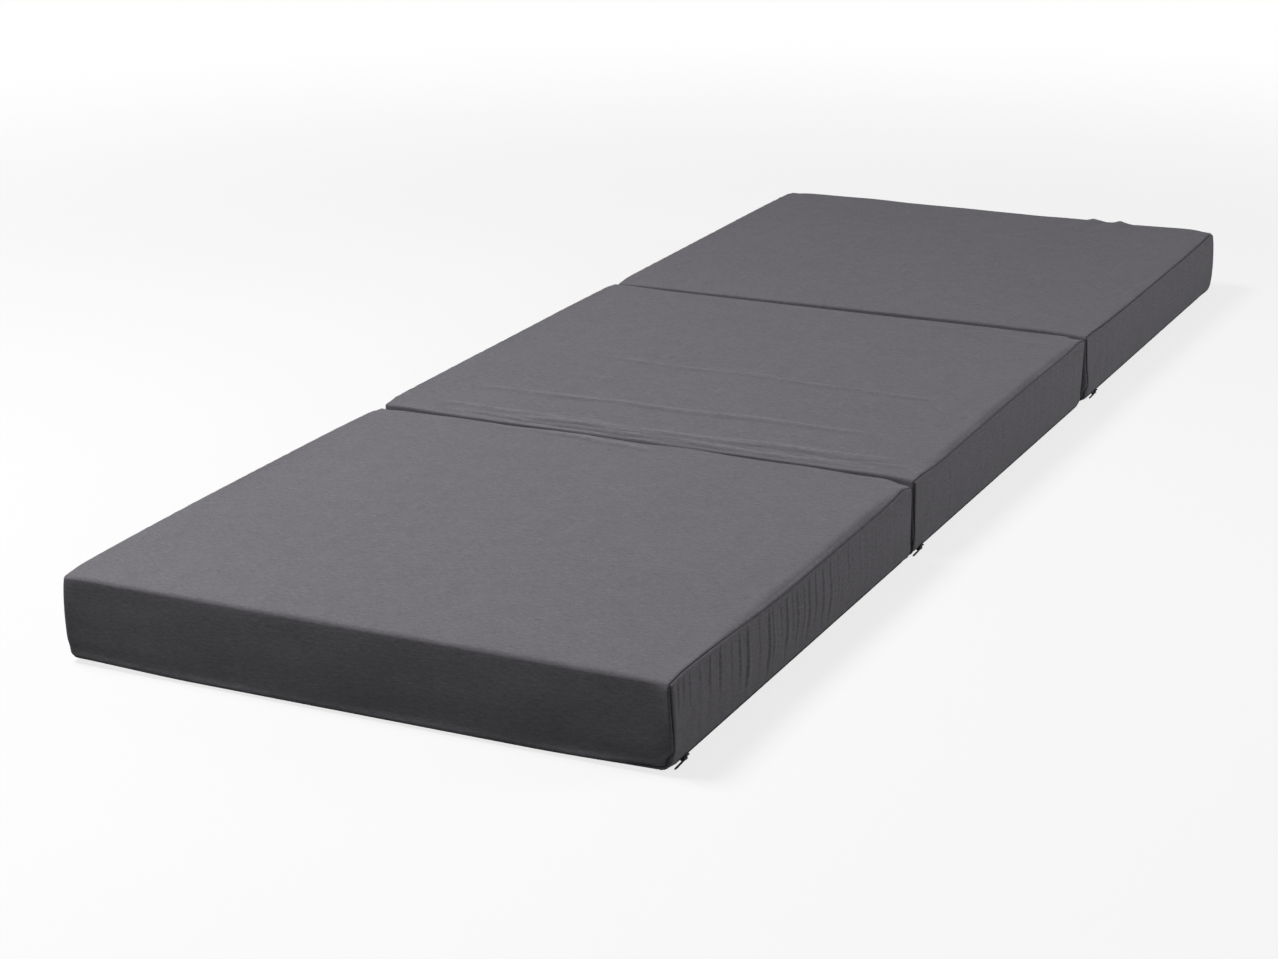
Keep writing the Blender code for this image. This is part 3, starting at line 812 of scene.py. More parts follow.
def sheet(name, points, normals, lengths, tone, thickness, material):
    """Cloth over a grid of points, with its thickness inwards and cloth lengths as its UV map."""
    rows, columns = points.shape[:2]
    index = np.arange(rows * columns).reshape(rows, columns)
    around = [index[:-1, :-1], index[:-1, 1:], index[1:, 1:], index[1:, :-1]]
    quads = np.stack(around, axis=-1)
    middle = quads[rows // 2, columns // 2]
    corner = points.reshape(-1, 3)[middle]
    facing = np.cross(corner[1] - corner[0], corner[3] - corner[0])
    quads = quads.reshape(-1, 4)
    if facing @ normals.reshape(-1, 3)[middle[0]] < 0:
        quads = quads[:, ::-1]
    mesh = bpy.data.meshes.new(name)
    mesh.from_pydata(points.reshape(-1, 3).tolist(), [], quads.tolist())
    corners = np.zeros(len(mesh.loops), int)
    mesh.loops.foreach_get("vertex_index", corners)
    layer = mesh.uv_layers.new(name="cloth")
    layer.data.foreach_set("uv", lengths.reshape(-1, 2)[corners].ravel())
    # tone holds painted light and shade for the cloth's colour
    mesh.attributes.new("tone", "FLOAT", "POINT").data.foreach_set("value", tone.ravel())
    shape = bmesh.new()
    shape.from_mesh(mesh)
    bmesh.ops.remove_doubles(shape, verts=shape.verts, dist=MERGE)
    shape.to_mesh(mesh)
    shape.free()
    mesh.materials.append(material)
    mesh.shade_smooth()
    piece = linked(name, mesh)
    shell = piece.modifiers.new("thickness", "SOLIDIFY")
    shell.thickness = thickness
    shell.offset = -1
    shell.use_rim = True
    apply_modifiers(piece)
    return piece


def apply_modifiers(thing):
    bpy.context.view_layer.update()
    graph = bpy.context.evaluated_depsgraph_get()
    mesh = bpy.data.meshes.new_from_object(thing.evaluated_get(graph), depsgraph=graph)
    old = thing.data
    thing.modifiers.clear()
    thing.data = mesh
    bpy.data.meshes.remove(old)


def hem_width(section, places):
    """How far the zip's hem stands from the chain's middle: it closes towards both ends."""
    low, high = section_box(section)
    y = (low[1] + high[1]) / 2 + places[..., 1, 0] * (high[1] - low[1]) / 2
    to_end = np.minimum(y - low[1], high[1] - y)
    return blend(SEAM, ZIP_HEM, ease((to_end - HEM_CLOSE_START) / HEM_CLOSE_RUN))


def seam_roll(section, places):
    """How far the side seam has slipped down round the edge, in radians, on the straight run."""
    return np.where(places[..., 1, 1] == 0, spread(section.roll, places[..., 1, 0]), 0)


def corner_roll(places):
    """How far the corner seams beside the zip have slipped round towards it, in radians."""
    up = places[..., 2, 0] + 1
    turned = CORNER_ROLL * (1 - ease(up / 2)) * ease(up / CORNER_ROLL_START)
    return np.where((places[..., 2, 1] == 0) & (places[..., 0, 0] > 0), turned, 0)


def turn_limits(section, places, kind):
    """How far each edge's full turn goes: to its seam, or to its hem, as far as they slipped."""
    turn = places[..., 1]
    straight = turn[..., 1] == 0
    trim = np.full(turn.shape, SEAM)
    if kind == "top":
        trim[..., 1] = 0
        trim[..., 2] = np.where(turn[..., 2] > 0, 0, SEAM)
    elif kind == "bottom":
        trim[..., 2] = 0
        trim[..., 0] = np.where((turn[..., 0] > 0) & straight, hem_width(section, places), SEAM)
    else:
        trim[..., 0] = 0
    if kind == "right_side":
        trim[..., 2] = np.where((turn[..., 2] < 0) & straight, hem_width(section, places), SEAM)
    limits = EIGHTH_TURN - trim / edge_radii(section, places[..., 0])
    if kind == "top":
        limits[..., 0] += seam_roll(section, places)
        limits[..., 0] += np.where(abs(turn[..., 1]) == 1, corner_roll(places), 0)
    elif kind != "bottom":
        limits[..., 2] -= np.where(turn[..., 2] > 0, seam_roll(section, places), 0)
        limits[..., 1] -= np.where(turn[..., 1] != 0, corner_roll(places), 0)
    return limits


def cloth_panel(section, kind, places, material, relief, hemmed=None):
    """One panel of a cover. hemmed is the edge that is hemmed for the zip and not sewn."""
    points = surface(section, places, turn_limits(section, places, kind))
    normals = outward_normals(points, np.array([0, 0, BOX_HEIGHT / 2]))
    grid = Grid(points)
    height, tone = relief(section, places, points, grid)
    edges = grid.edges()
    hem = [] if hemmed is None else [edges.pop(hemmed)]
    to_seam = np.min(edges, axis=0)
    clear = ease((to_seam - SEAM_ROLL) / RELIEF_START)
    for to_hem in hem:
        clear = clear * ease((to_hem - HEM_ROLL) / RELIEF_START)
    gathered = kind != "bottom"
    loose = slack_share(section, places) * (places[..., 1, 1] == 0)
    depth = 1 - (1 - SLACK_SEAM_DEPTH) * loose * (places[..., 2, 0] > 0)
    height = height * clear + pucker(points, grid, section.place + PUCKER_SEED) * gathered
    height += RIDGE_HEIGHT * gathered * bell(to_seam - RIDGE_PLACE, RIDGE_WIDTH)
    height -= depth * dive(to_seam, SEAM_ROLL)
    for to_hem in hem:
        height -= dive(to_hem, HEM_ROLL) + STITCH_SINK * bell(to_hem - STITCH_ROW, STITCH_SPREAD)
    points = points + normals * height[..., None]
    points[..., 1] += section_y(section)
    # Painted shade along the seams, where the cloth dives into them, less where loose cloth rolls
    # over the edge
    tone = tone * clear - SEAM_PAINTED_SHADE * (1 - loose) * bell(to_seam, SEAM_PAINTED_SHADE_REACH)
    middle = grid.to_column_start[:, -1:] / 2
    lengths = np.stack([grid.to_column_start - middle, grid.to_row_start], axis=-1)
    lip = np.pad(normals * SEAM_LIP, ((1, 1), (1, 1), (0, 0)), mode="edge")
    name = f"{section.name}_{kind}_panel"
    tucked = (tuck(points, lip), tuck(normals), tuck(lengths), tuck(tone[..., None]))
    piece = sheet(f"{name}_cloth", *tucked, CLOTH, material)
    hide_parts(name)
    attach(piece, f"{section.name}_section")
    return points, normals, grid


# Solid forms


def add_grid(shape, points):
    """Adds the quads of a grid of points to a form whose seams are merged later."""
    rows = [[shape.verts.new(point) for point in row] for row in points.tolist()]
    for low, high in zip(rows, rows[1:]):
        for left in range(len(low) - 1):
            shape.faces.new((low[left], low[left + 1], high[left + 1], high[left]))


def add_tube(shape, rings, loop=False):
    """Adds a closed tube through rings of points; with loop, the last ring joins the first."""
    levels = [[shape.verts.new(point) for point in ring] for ring in rings]
    following = levels[1:] + levels[:1] if loop else levels[1:]
    for low, high in zip(levels, following):
        for here in range(len(low)):
            there = (here + 1) % len(low)
            shape.faces.new((low[here], low[there], high[there], high[here]))
    if not loop:
        shape.faces.new(levels[0])
        shape.faces.new(levels[-1])


def solid(shape, name, material, bevel=0.0):
    """The finished form as an object, with its outward sides found and its edges rounded."""
    bmesh.ops.remove_doubles(shape, verts=shape.verts, dist=MERGE)
    bmesh.ops.recalc_face_normals(shape, faces=shape.faces)
    mesh = bpy.data.meshes.new(name)
    shape.to_mesh(mesh)
    shape.free()
    mesh.materials.append(material)
    thing = linked(name, mesh)
    if bevel:
        rounding = thing.modifiers.new("rounding", "BEVEL")
        rounding.width = bevel
        rounding.segments = 2
        rounding.limit_method = "ANGLE"
        rounding.angle_limit = SHARP_ANGLE
        apply_modifiers(thing)
    thing.data.shade_smooth()
    thing.data.set_sharp_from_angle(angle=SHARP_ANGLE)
    return thing


def tube_faces(sides, levels):
    """Quads round a block whose points are rings of as many points as it has sides."""
    faces = []
    for low in range(0, sides * levels, sides):
        for here in range(sides):
            there = (here + 1) % sides
            faces.append([low + here, low + there, low + there + sides, low + here + sides])
    return faces


def blocks(name, points, faces, material):
    """Closed blocks that all have the same faces, with one row of points for each block."""
    every = np.array(faces)[None] + points.shape[1] * np.arange(len(points))[:, None, None]
    mesh = bpy.data.meshes.new(name)
    mesh.from_pydata(points.reshape(-1, 3).tolist(), [], every.reshape(-1, 4).tolist())
    shape = bmesh.new()
    shape.from_mesh(mesh)
    bmesh.ops.recalc_face_normals(shape, faces=shape.faces)
    shape.to_mesh(mesh)
    shape.free()
    mesh.materials.append(material)
    return linked(name, mesh)


def foam_block(section, material):
    """The foam in the cover: six faces merged into one closed form."""
    lengths = (WIDTH, SECTION_LENGTH, THICKNESS)
    lines = [stations(shares(length, FOAM_PITCH), FOAM_TURNS, FOAM_TURNS) for length in lengths]
    shape = bmesh.new()
    for axis in range(3):
        across = [line for other, line in enumerate(lines) if other != axis]
        for side in (-1, 1):
            places = face_places(axis, side, *across)
            points = surface(section, places, EIGHTH_TURN, FOAM_INSET, ZIP_EDGE_FOAM)
            points[..., 1] += section_y(section)
            add_grid(shape, points)
    core = solid(shape, f"{section.name}_foam_block", material)
    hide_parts(f"{section.name}_foam_core")
    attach(core, f"{section.name}_section")


# Zip chain: tapes, teeth and the topstitching beside them


def chain_turn(offset):
    """Direction of a place in the zip from the edge's centre, by its way round from the middle."""
    return offset / ZIP_EDGE - EIGHTH_TURN


def chain_point(out, offset):
    """x and z of a place in the zip, at a distance out from the edge's centre."""
    turn = chain_turn(offset)
    return BOX_HALF_WIDTH - ZIP_EDGE + out * np.cos(turn), ZIP_EDGE + out * np.sin(turn)


def zip_tape(section, name, side, material):
    low, high = section_box(section)
    start = low[1] + section.near.bottom_edge + TAPE_INSET
    end = high[1] - section.far.bottom_edge - TAPE_INSET
    along = np.arange(start, end, TAPE_PITCH) + section_y(section)
    offset = side * np.linspace(TAPE_START, TAPE_WIDTH, TAPE_ROWS)[:, None]
    x, z = chain_point(TAPE_OUT, offset)
    points = grid_of(x, along, z)
    turn = chain_turn(offset)
    normals = grid_of(np.cos(turn), 0 * along, np.sin(turn))
    lengths = np.stack(np.broadcast_arrays(along, abs(offset)), axis=-1)
    tone = np.zeros(points.shape[:2])
    label = f"{section.name}_{name}_tape"
    piece = sheet(label, points, normals, lengths, tone, TAPE_THICKNESS, material)
    stringer_piece(section, name, piece)


def stringer_piece(section, name, piece):
    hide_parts(f"{section.name}_{name}")
    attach(piece, f"{section.name}_section")


def zip_teeth(section, name, side, material):
    """One row of teeth, each a block that narrows outwards. The rows are half a pitch apart."""
    low, high = section_box(section)
    middle = section_y(section) + (0 if side > 0 else TOOTH_PITCH / 2)
    along = np.arange(low[1] + CHAIN_END, high[1] - CHAIN_END, TOOTH_PITCH) + middle
    crest = ZIP_EDGE + TEETH_PROUD
    tooth = []
    for out, first_inset, last_inset in (
        (TAPE_OUT - TAPE_THICKNESS, 0, 0),
        (crest - TOOTH_ROUND, 0, 0),
        (crest, TOOTH_ROUND, 2 * TOOTH_ROUND),
    ):
        first, last = TEETH_START + first_inset, TEETH_END - last_inset
        half = TOOTH_LENGTH / 2 - first_inset
        for offset, step in ((first, -half), (last, -half), (last, half), (first, half)):
            x, z = chain_point(out, side * offset)
            tooth.append((x, step, z))
    points = np.array(tooth) + np.array([0, 1, 0]) * along[:, None, None]
    faces = [[3, 2, 1, 0], [8, 9, 10, 11]] + tube_faces(4, 2)
    piece = blocks(f"{section.name}_{name}_teeth", points, faces, material)
    stringer_piece(section, name, piece)


def read_line(line, reached, wanted):
    """Points at wanted distances along a line, from the distance reached at each of its points."""
    return np.stack([np.interp(wanted, reached, values) for values in line.T], axis=-1)


def line_beside(grid, reached, wanted):
    """Values of a grid at a wanted distance from the edge where each of its rows starts."""
    return np.array([read_line(row, far, wanted) for row, far in zip(grid, reached)])


def topstitching(section, name, line, normals, material):
    """A row of short threads that sink into the cloth at both ends."""
    low, high = section_box(section)
    inside = line[:, 1] - section_y(section)
    open_hem = (inside > low[1] + CHAIN_END) & (inside < high[1] - CHAIN_END)
    line, normals = line[open_hem], normals[open_hem]
    reached = np.cumsum(np.linalg.norm(np.diff(line, axis=0, prepend=line[:1]), axis=-1))
    wanted = np.arange(STITCH_PITCH, reached[-1] - STITCH_PITCH, STITCH_PITCH)
    place, up = read_line(line, reached, wanted), read_line(normals, reached, wanted)
    ahead = np.gradient(place, axis=0)
    ahead /= np.linalg.norm(ahead, axis=-1, keepdims=True)
    beside = np.cross(ahead, up)
    radius = STITCH_THICKNESS / 2
    points = []
    for step, size, sink in STITCH_RINGS:
        for turn in np.arange(STITCH_SIDES) * 2 * math.pi / STITCH_SIDES:
            aside = beside * radius * size * math.cos(turn)
            rise = up * (radius * (size * math.sin(turn) - sink))
            points.append(place + ahead * step * STITCH_LENGTH + aside + rise)
    faces = tube_faces(STITCH_SIDES, len(STITCH_RINGS) - 1)
    for end in (0, STITCH_SIDES * (len(STITCH_RINGS) - 1)):
        faces += [[end, end + 1, end + 2, end + 3], [end + 3, end + 4, end + 5, end]]
    piece = blocks(f"{section.name}_{name}", np.stack(points, axis=1), faces, material)
    piece.data.shade_smooth()
    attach(piece, f"{section.name}_section")


# Zip slider and pull, drawn with X across the chain, Y along it and Z out of it


def rectangle(left, right, along, low, high):
    return [(left, along, low), (right, along, low), (right, along, high), (left, along, high)]


def slider_body(section, material):
    shape = bmesh.new()
    front = TEETH_PROUD + SLIDER_LOW
    back = -SLIDER_BACK_DEPTH
    outline = [(share * SLIDER_LENGTH, width * SLIDER_WIDTH / 2) for share, width in SLIDER_OUTLINE]
    for base in (front, back - SLIDER_PLATE):
        top = base + SLIDER_PLATE
        add_tube(shape, [rectangle(-half, half, along, base, top) for along, half in outline])
    flanges = (
        (front - FLANGE_DEPTH, front + METAL_ROUND),
        (back - METAL_ROUND, back + FLANGE_DEPTH),
    )
    for side in (-1, 1):
        for low, high in flanges:
            rings = []
            for along, half in outline[FLANGED]:
                inner, outer = side * (half - FLANGE_THICKNESS), side * half
                rings.append(rectangle(inner, outer, along, low, high))
            add_tube(shape, rings)
    post = SLIDER_POST / 2
    ends = [share * SLIDER_LENGTH for share in POST_SHARES]
    low, high = back - METAL_ROUND, front + METAL_ROUND
    add_tube(shape, [rectangle(-post, post, along, low, high) for along in ends])
    add_bridge(shape, front + SLIDER_PLATE)
    body = solid(shape, f"{section.name}_slider_body", material, METAL_ROUND)
    body.matrix_world = zip_holder(section)
    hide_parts(f"{section.name}_zip_slider")
    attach(body, f"{section.name}_slider")


def add_bridge(shape, base):
    """The bent staple on the front plate, which holds the pull."""
    arches = []
    for inset in (0, BRIDGE_BAR):
        reach = BRIDGE_LENGTH / 2 - inset
        rise = PIVOT_HEIGHT + BRIDGE_OVER_PIVOT - base - inset + METAL_ROUND
        arch = []
        for turn in np.linspace(0, math.pi, BRIDGE_CELLS + 1):
            y = -reach * np.sign(math.cos(turn)) * abs(math.cos(turn)) ** BRIDGE_POWER
            arch.append((y, base - METAL_ROUND + rise * abs(math.sin(turn)) ** BRIDGE_POWER))
        arches.append(arch)
    outline = arches[0] + arches[1][::-1]
    half = BRIDGE_WIDTH / 2
    add_tube(shape, [[(x, y, z) for y, z in outline] for x in (-half, half)])


def round_rectangle(half_width, start, end, corner, level):
    points = []
    middle, half = (start + end) / 2, (end - start) / 2
    for quarter, (sign_x, sign_y) in enumerate(((1, 1), (-1, 1), (-1, -1), (1, -1))):
        for step in range(PULL_CORNER_CELLS + 1):
            angle = (quarter + step / PULL_CORNER_CELLS) * math.pi / 2
            x = sign_x * (half_width - corner) + corner * math.cos(angle)
            y = middle + sign_y * (half - corner) + corner * math.sin(angle)
            points.append((x, y, level))
    return points


def pull_tab(section, material):
    shape = bmesh.new()
    half = PULL_THICKNESS / 2
    eye_end = -PULL_BAR - PULL_EYE_LENGTH
    outer = [PULL_WIDTH / 2, -PULL_LENGTH, PULL_BAR, 2 * PULL_BAR]
    eye = [PULL_EYE_WIDTH / 2, eye_end, -PULL_BAR, PULL_BAR / 2]
    levels = ((outer, -half), (outer, half), (eye, half), (eye, -half))
    add_tube(shape, [round_rectangle(*size, level) for size, level in levels], loop=True)
    inset = PULL_GRIP_INSET
    grip = [PULL_WIDTH / 2 - inset, inset - PULL_LENGTH, eye_end - PULL_GRIP_START, PULL_BAR]
    rise = half + PULL_GRIP_RISE
    add_tube(shape, [round_rectangle(*grip, level) for level in (-rise, rise)])
    tab = solid(shape, f"{section.name}_pull_tab", material, METAL_ROUND)
    pivot = Matrix.Translation((0, 0, PIVOT_HEIGHT)) @ Matrix.Rotation(-PULL_TILT, 4, "X")
    tab.matrix_world = zip_holder(section) @ pivot
    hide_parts(f"{section.name}_zip_pull")
    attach(tab, f"{section.name}_pull")


def zip_holder(section):
    """Place of a parked slider over the chain."""
    along = section_y(section) - SECTION_LENGTH / 2 + section.park
    place = Matrix.Translation((BOX_HALF_WIDTH - FACET_INSET, along, FACET_INSET))
    return place @ Matrix.Rotation(ZIP_TURN, 4, "Y")


# Sewn cloth that joins two sections across the gap of a fold


def fold_strip(name, end, sewn_low, material):
    """A folded cloth strip whose flaps lie on the two end faces and whose web closes the gap."""
    face = end.bottom_edge if sewn_low else BOX_HEIGHT - end.top_edge
    inward = 1 if sewn_low else -1
    web = face + inward * CLOTH

    def half_gap(height):
        lean = blend(end.bottom_lean, end.top_lean, height / BOX_HEIGHT)
        return FOLD_GAP / 2 + lean - STRIP_CLEARANCE - CLOTH / 2

    heights = np.linspace(face + inward * STRIP_FLAP, web, STRIP_ROWS)
    flap = [(half_gap(height), height) for height in heights]
    turns = np.linspace(0, math.pi, STRIP_WEB_ROWS + 2)[-2:0:-1]
    sag = STRIP_SAG if sewn_low else STRIP_SINK
    crown = [(half_gap(web) * math.cos(turn), web - sag * math.sin(turn)) for turn in turns]
    line = np.array([(-y, z) for y, z in flap] + crown + flap[::-1])
    half = BOX_HALF_WIDTH - STRIP_SIDE_MARGIN
    points = grid_of(np.linspace(-half, half, STRIP_COLUMNS), line[:, :1], line[:, 1:])
    webbed = bell(line[:, :1], FOLD_GAP / 4)
    points[..., 2] += STRIP_WAVE * webbed * ripples(points[..., :1], STRIP_WAVE_LENGTH, STRIP_SEED)
    middle = -inward * PITCH / 2
    points[..., 1] += middle
    normals = outward_normals(points, points.mean(axis=(0, 1)))
    grid = Grid(points)
    lengths = np.stack([grid.to_column_start, grid.to_row_start], axis=-1)
    tone = np.zeros(points.shape[:2])
    piece = sheet(f"{name}_cloth", points, normals, lengths, tone, CLOTH / 2, material)
    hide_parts(name)
    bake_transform(piece)


# Materials


class Tree:
    """A node tree, with short ways to add and join its nodes."""

    def __init__(self, owner):
        owner.use_nodes = True
        self.nodes = owner.node_tree.nodes
        self.links = owner.node_tree.links

    def set(self, socket, value):
        if isinstance(value, bpy.types.NodeSocket):
            self.links.new(value, socket)
        else:
            socket.default_value = value

    def add(self, kind, inputs, **settings):
        node = self.nodes.new(kind)
        for key, value in settings.items():
            setattr(node, key, value)
        for key, value in inputs.items():
            self.set(node.inputs[key], value)
        return node

    def given(self, kind, output, **settings):
        return self.add(kind, {}, **settings).outputs[output]

    def maths(self, operation, first, second=0.0, third=0.0):
        inputs = {0: first, 1: second, 2: third}
        return self.add("ShaderNodeMath", inputs, operation=operation).outputs[0]

    def scaled(self, value, factor, offset):
        return self.maths("MULTIPLY_ADD", value, factor, offset)

    def about_one(self, pattern, change):
        """A factor that changes about 1 with a pattern from 0 to 1."""
        return self.scaled(pattern, change, 1 - change / 2)

    def sees_white(self):
        """1 for the rays that show the background itself or its reflection."""
        path = self.add("ShaderNodeLightPath", {}).outputs
        glossy = self.maths("MAXIMUM", path["Is Camera Ray"], path["Is Glossy Ray"])
        return self.maths("MAXIMUM", glossy, path["Is Transmission Ray"])


class Finish(Tree):
    """A material, with the patterns and the surface that are used here."""

    def __init__(self, name):
        self.material = bpy.data.materials.new(name)
        super().__init__(self.material)
        self.shader = self.nodes["Principled BSDF"]

    def cloth(self, *scale):
        """Cloth coordinates, stretched by a scale per metre along and across it."""
        return self.stretched(self.given("ShaderNodeUVMap", "UV", uv_map="cloth"), (*scale, 0))

    def space(self, *scale):
        """Object coordinates, stretched by a scale per metre along each axis."""
        return self.stretched(self.given("ShaderNodeTexCoord", "Object"), scale)

    def stretched(self, source, scale):
        inputs = {0: source, 1: scale}
        return self.add("ShaderNodeVectorMath", inputs, operation="MULTIPLY").outputs[0]

    def noise(self, place, detail=2.0, roughness=0.5):
        inputs = {"Vector": place, "Scale": 1.0, "Detail": detail, "Roughness": roughness}
        return self.add("ShaderNodeTexNoise", inputs).outputs["Fac"]

    def weave(self, place):
        """Threads over and under each other, from 0 to 1, one pair per unit."""
        parts = self.add("ShaderNodeSeparateXYZ", {0: place}).outputs
        waves = [
            self.maths("SINE", self.maths("MULTIPLY", part, 2 * math.pi)) for part in parts[:2]
        ]
        return self.scaled(self.maths("MULTIPLY", *waves), 0.5, 0.5)

    def surface(self, colour, factor, bumps, depth, **values):
        """The finished material: a colour times a factor, and bumps of a depth in metres."""
        inputs = {0: colour, "Scale": factor}
        shaded = self.add("ShaderNodeVectorMath", inputs, operation="SCALE").outputs[0]
        inputs = {"Height": bumps, "Distance": depth, "Strength": 1.0}
        normal = self.add("ShaderNodeBump", inputs).outputs["Normal"]
        for key, value in ({"Base_Color": shaded, "Normal": normal} | values).items():
            self.set(self.shader.inputs[key.replace("_", " ")], value)
        return self.material


# Colours, as linear red, green and blue
COVER_COLOUR = (0.190, 0.1825, 0.200)
ZIP_COLOUR = (0.022, 0.022, 0.024)
TEETH_COLOUR = (0.030, 0.030, 0.032)
THREAD_COLOUR = (0.085, 0.083, 0.092)
METAL_COLOUR = (0.010, 0.010, 0.011)
FOAM_COLOUR = (0.82, 0.78, 0.66)


def cover_fabric():
    finish = Finish("cover_fabric")
    slubs = finish.noise(finish.cloth(120, 600), 3.0, 0.65)
    streaks = finish.noise(finish.cloth(45, 300))
    threads = finish.noise(finish.cloth(700, 260), 1.0)
    mottle = finish.noise(finish.cloth(34, 34), 3.0, 0.6)
    clouds = finish.noise(finish.cloth(5, 5))
    weave = finish.weave(finish.cloth(900, 900))
    factor = finish.about_one(slubs, 0.92)
    for pattern, change in (
        (streaks, 0.25), (threads, 0.42), (mottle, 0.20), (clouds, 0.08), (weave, 0.10),
    ):
        factor = finish.maths("MULTIPLY", factor, finish.about_one(pattern, change))
    # The tone attribute multiplies the colour with painted light: painted highlights on fold ridges
    # and over the end top edges, painted shade in fold grooves, along seams and on the rolled right
    # top edge
    tone = finish.given("ShaderNodeAttribute", "Fac", attribute_name="tone")
    factor = finish.maths("MULTIPLY", factor, finish.maths("ADD", tone, 1.0))
    bumps = finish.scaled(slubs, 1.4, finish.scaled(weave, 0.5, threads))
    return finish.surface(
        COVER_COLOUR, factor, bumps, 0.00010, Roughness=finish.scaled(slubs, -0.12, 0.98),
        Sheen_Weight=0.05, Sheen_Roughness=0.5, Specular_IOR_Level=0.12,
    )


def zip_cloth():
    finish = Finish("zip_tape")
    ribs = finish.weave(finish.cloth(700, 1400))
    fibres = finish.noise(finish.cloth(400, 1600))
    factor = finish.scaled(ribs, 0.5, finish.scaled(fibres, 0.5, 0.5))
    bumps = finish.maths("ADD", ribs, fibres)
    return finish.surface(ZIP_COLOUR, factor, bumps, 0.00015, Roughness=0.85, Sheen_Weight=0.1)


def zip_plastic():
    finish = Finish("zip_teeth")
    grain = finish.noise(finish.space(900, 900, 900))
    roughness = finish.scaled(grain, 0.2, 0.35)
    factor = finish.about_one(grain, 0.4)
    return finish.surface(TEETH_COLOUR, factor, grain, 0.00004, Roughness=roughness)


def thread():
    finish = Finish("stitching_thread")
    twist = finish.noise(finish.space(1800, 5200, 1800))
    factor = finish.about_one(twist, 0.6)
    return finish.surface(THREAD_COLOUR, factor, twist, 0.00008, Roughness=0.7, Sheen_Weight=0.2)


def painted_metal():
    """Dark lacquered metal with fine scratches and rubbed patches."""
    finish = Finish("slider_metal")
    scratches = finish.noise(finish.space(5200, 500, 5200), 3.0, 0.7)
    rubbed = finish.noise(finish.space(420, 420, 420))
    factor = finish.scaled(rubbed, 0.9, finish.scaled(scratches, 0.5, 0.3))
    return finish.surface(
        METAL_COLOUR, factor, scratches, 0.00002, Roughness=finish.scaled(scratches, 0.3, 0.38),
        Metallic=0.1, Specular_IOR_Level=0.16,
    )


def foam_rubber():
    finish = Finish("foam")
    cells = {"Vector": finish.space(900, 900, 900), "Scale": 1.0}
    pores = finish.add("ShaderNodeTexVoronoi", cells).outputs["Distance"]
    clouds = finish.noise(finish.space(30, 30, 30))
    factor = finish.scaled(pores, 0.18, finish.scaled(clouds, 0.08, 0.84))
    return finish.surface(FOAM_COLOUR, factor, pores, 0.0005, Roughness=0.95)


# Floor, light and camera

FLOOR_HALF = 9.0
FLOOR_DROP = 0.0012
FLOOR_SHOWS_THROUGH = 0.78
FLOOR_FADE_START = 1.2
FLOOR_FADE_END = 3.2
BOUNCE_GREY = 0.20
AMBIENT = 0.10

Lamp = namedtuple("Lamp", "name place target size power")
LAMPS = (
    Lamp("overhead", (-1.30, -1.20, 3.0), (-1.30, -1.20, 0), 1.4, 92),
    Lamp("side", (2.95, 0.85, 0.9), (0, 0, 0), 1.4, 26),
)

CAMERA_PLACE = (1.37984764, -3.16165955, 1.11200415)
CAMERA_RIGHT = (0.90074371, 0.43426417, -0.008683)
CAMERA_UP = (-0.13126084, 0.29120638, 0.94761249)
CAMERA_LENS = 79.19
CAMERA_SENSOR = 36


def pale_floor():
    """A grey floor for the light, which the camera sees as white and fading into the world."""
    finish = Finish("floor")
    white = finish.sees_white()
    grey = finish.scaled(white, 1 - BOUNCE_GREY, BOUNCE_GREY)
    tone = finish.add("ShaderNodeCombineColor", {0: grey, 1: grey, 2: grey}).outputs[0]
    diffuse = finish.add("ShaderNodeBsdfDiffuse", {"Color": tone}).outputs[0]
    clear = finish.given("ShaderNodeBsdfTransparent", 0)
    inputs = {0: finish.given("ShaderNodeNewGeometry", "Position")}
    distance = finish.add("ShaderNodeVectorMath", inputs, operation="LENGTH").outputs["Value"]
    inputs = {
        "Value": distance,
        "From Min": FLOOR_FADE_START,
        "From Max": FLOOR_FADE_END,
        "To Min": FLOOR_SHOWS_THROUGH,
        "To Max": 1.0,
    }
    faded = finish.add("ShaderNodeMapRange", inputs, interpolation_type="SMOOTHSTEP")
    share = finish.maths("MULTIPLY", white, faded.outputs["Result"])
    mixed = finish.add("ShaderNodeMixShader", {0: share, 1: diffuse, 2: clear}).outputs[0]
    finish.nodes.remove(finish.shader)
    finish.set(finish.nodes["Material Output"].inputs["Surface"], mixed)
    far, low = FLOOR_HALF, -FLOOR_DROP
    corners = [(-far, -far, low), (far, -far, low), (far, far, low), (-far, far, low)]
    mesh = bpy.data.meshes.new("floor")
    mesh.from_pydata(corners, [], [(0, 1, 2, 3)])
    mesh.materials.append(finish.material)
    linked("floor", mesh)


def surroundings():
    world = bpy.data.worlds.new("surroundings")
    tree = Tree(world)
    background = tree.nodes["Background"]
    tree.set(background.inputs["Color"], (1, 1, 1, 1))
    strength = tree.scaled(tree.sees_white(), 1 - AMBIENT, AMBIENT)
    tree.set(background.inputs["Strength"], strength)
    bpy.context.scene.world = world


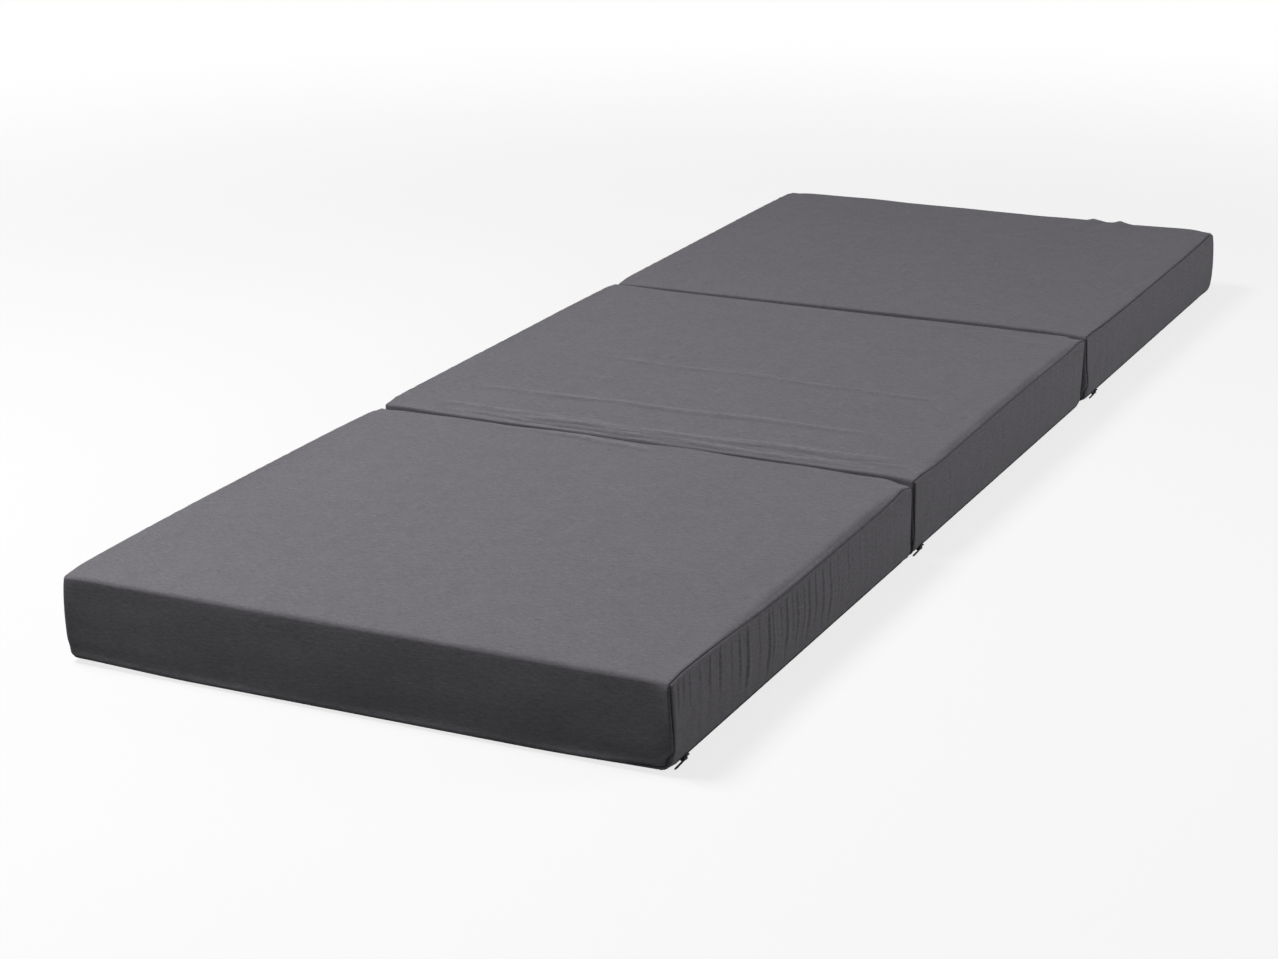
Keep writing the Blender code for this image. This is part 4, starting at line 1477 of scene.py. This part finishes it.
def lamps():
    for lamp in LAMPS:
        data = bpy.data.lights.new(lamp.name, "AREA")
        data.shape = "DISK"
        data.size = lamp.size
        data.energy = lamp.power
        thing = linked(lamp.name, data)
        thing.location = lamp.place
        aim = Vector(lamp.target) - Vector(lamp.place)
        thing.rotation_euler = aim.to_track_quat("-Z", "Y").to_euler()


def camera():
    data = bpy.data.cameras.new("camera")
    data.lens = CAMERA_LENS
    data.sensor_fit = "HORIZONTAL"
    data.sensor_width = CAMERA_SENSOR
    thing = linked("camera", data)
    right, up = Vector(CAMERA_RIGHT).normalized(), Vector(CAMERA_UP).normalized()
    axes = Matrix((right, up, right.cross(up))).transposed().to_4x4()
    thing.matrix_world = Matrix.Translation(CAMERA_PLACE) @ axes
    bpy.context.scene.camera = thing


def build_section(section, materials):
    fabric = materials["fabric"]
    cloth_panel(section, "top", top_places(section), fabric, top_relief)
    cloth_panel(section, "left_side", side_places(section, -1), fabric, side_relief)
    places = side_places(section, 1)
    *side, grid = cloth_panel(section, "right_side", places, fabric, side_relief, HEM_AT_ROW_START)
    upwards = grid.to_row_start.T
    places = bottom_places()
    *below, grid = cloth_panel(section, "bottom", places, fabric, bottom_relief, HEM_AT_COLUMN_END)
    inwards = grid.to_column_end[:, ::-1]
    upper = [line_beside(part.swapaxes(0, 1), upwards, STITCH_ROW) for part in side]
    topstitching(section, "upper_topstitching", *upper, materials["thread"])
    lower = [line_beside(part[:, ::-1], inwards, STITCH_ROW) for part in below]
    topstitching(section, "lower_topstitching", *lower, materials["thread"])
    foam_block(section, materials["foam"])
    for name, side in (("zip_stringer_upper", 1), ("zip_stringer_lower", -1)):
        zip_tape(section, name, side, materials["tape"])
        zip_teeth(section, name, side, materials["teeth"])
    slider_body(section, materials["metal"])
    pull_tab(section, materials["metal"])


def main():
    materials = {
        "fabric": cover_fabric(),
        "tape": zip_cloth(),
        "teeth": zip_plastic(),
        "thread": thread(),
        "metal": painted_metal(),
        "foam": foam_rubber(),
    }
    for section in SECTIONS:
        build_section(section, materials)
    fabric = materials["fabric"]
    fold_strip("lower_fold_strip", LOW_FOLD_END, True, fabric)
    fold_strip("upper_fold_strip", HIGH_FOLD_END, False, fabric)
    pale_floor()
    surroundings()
    lamps()
    camera()
    bpy.context.scene.view_settings.view_transform = "Standard"


main()
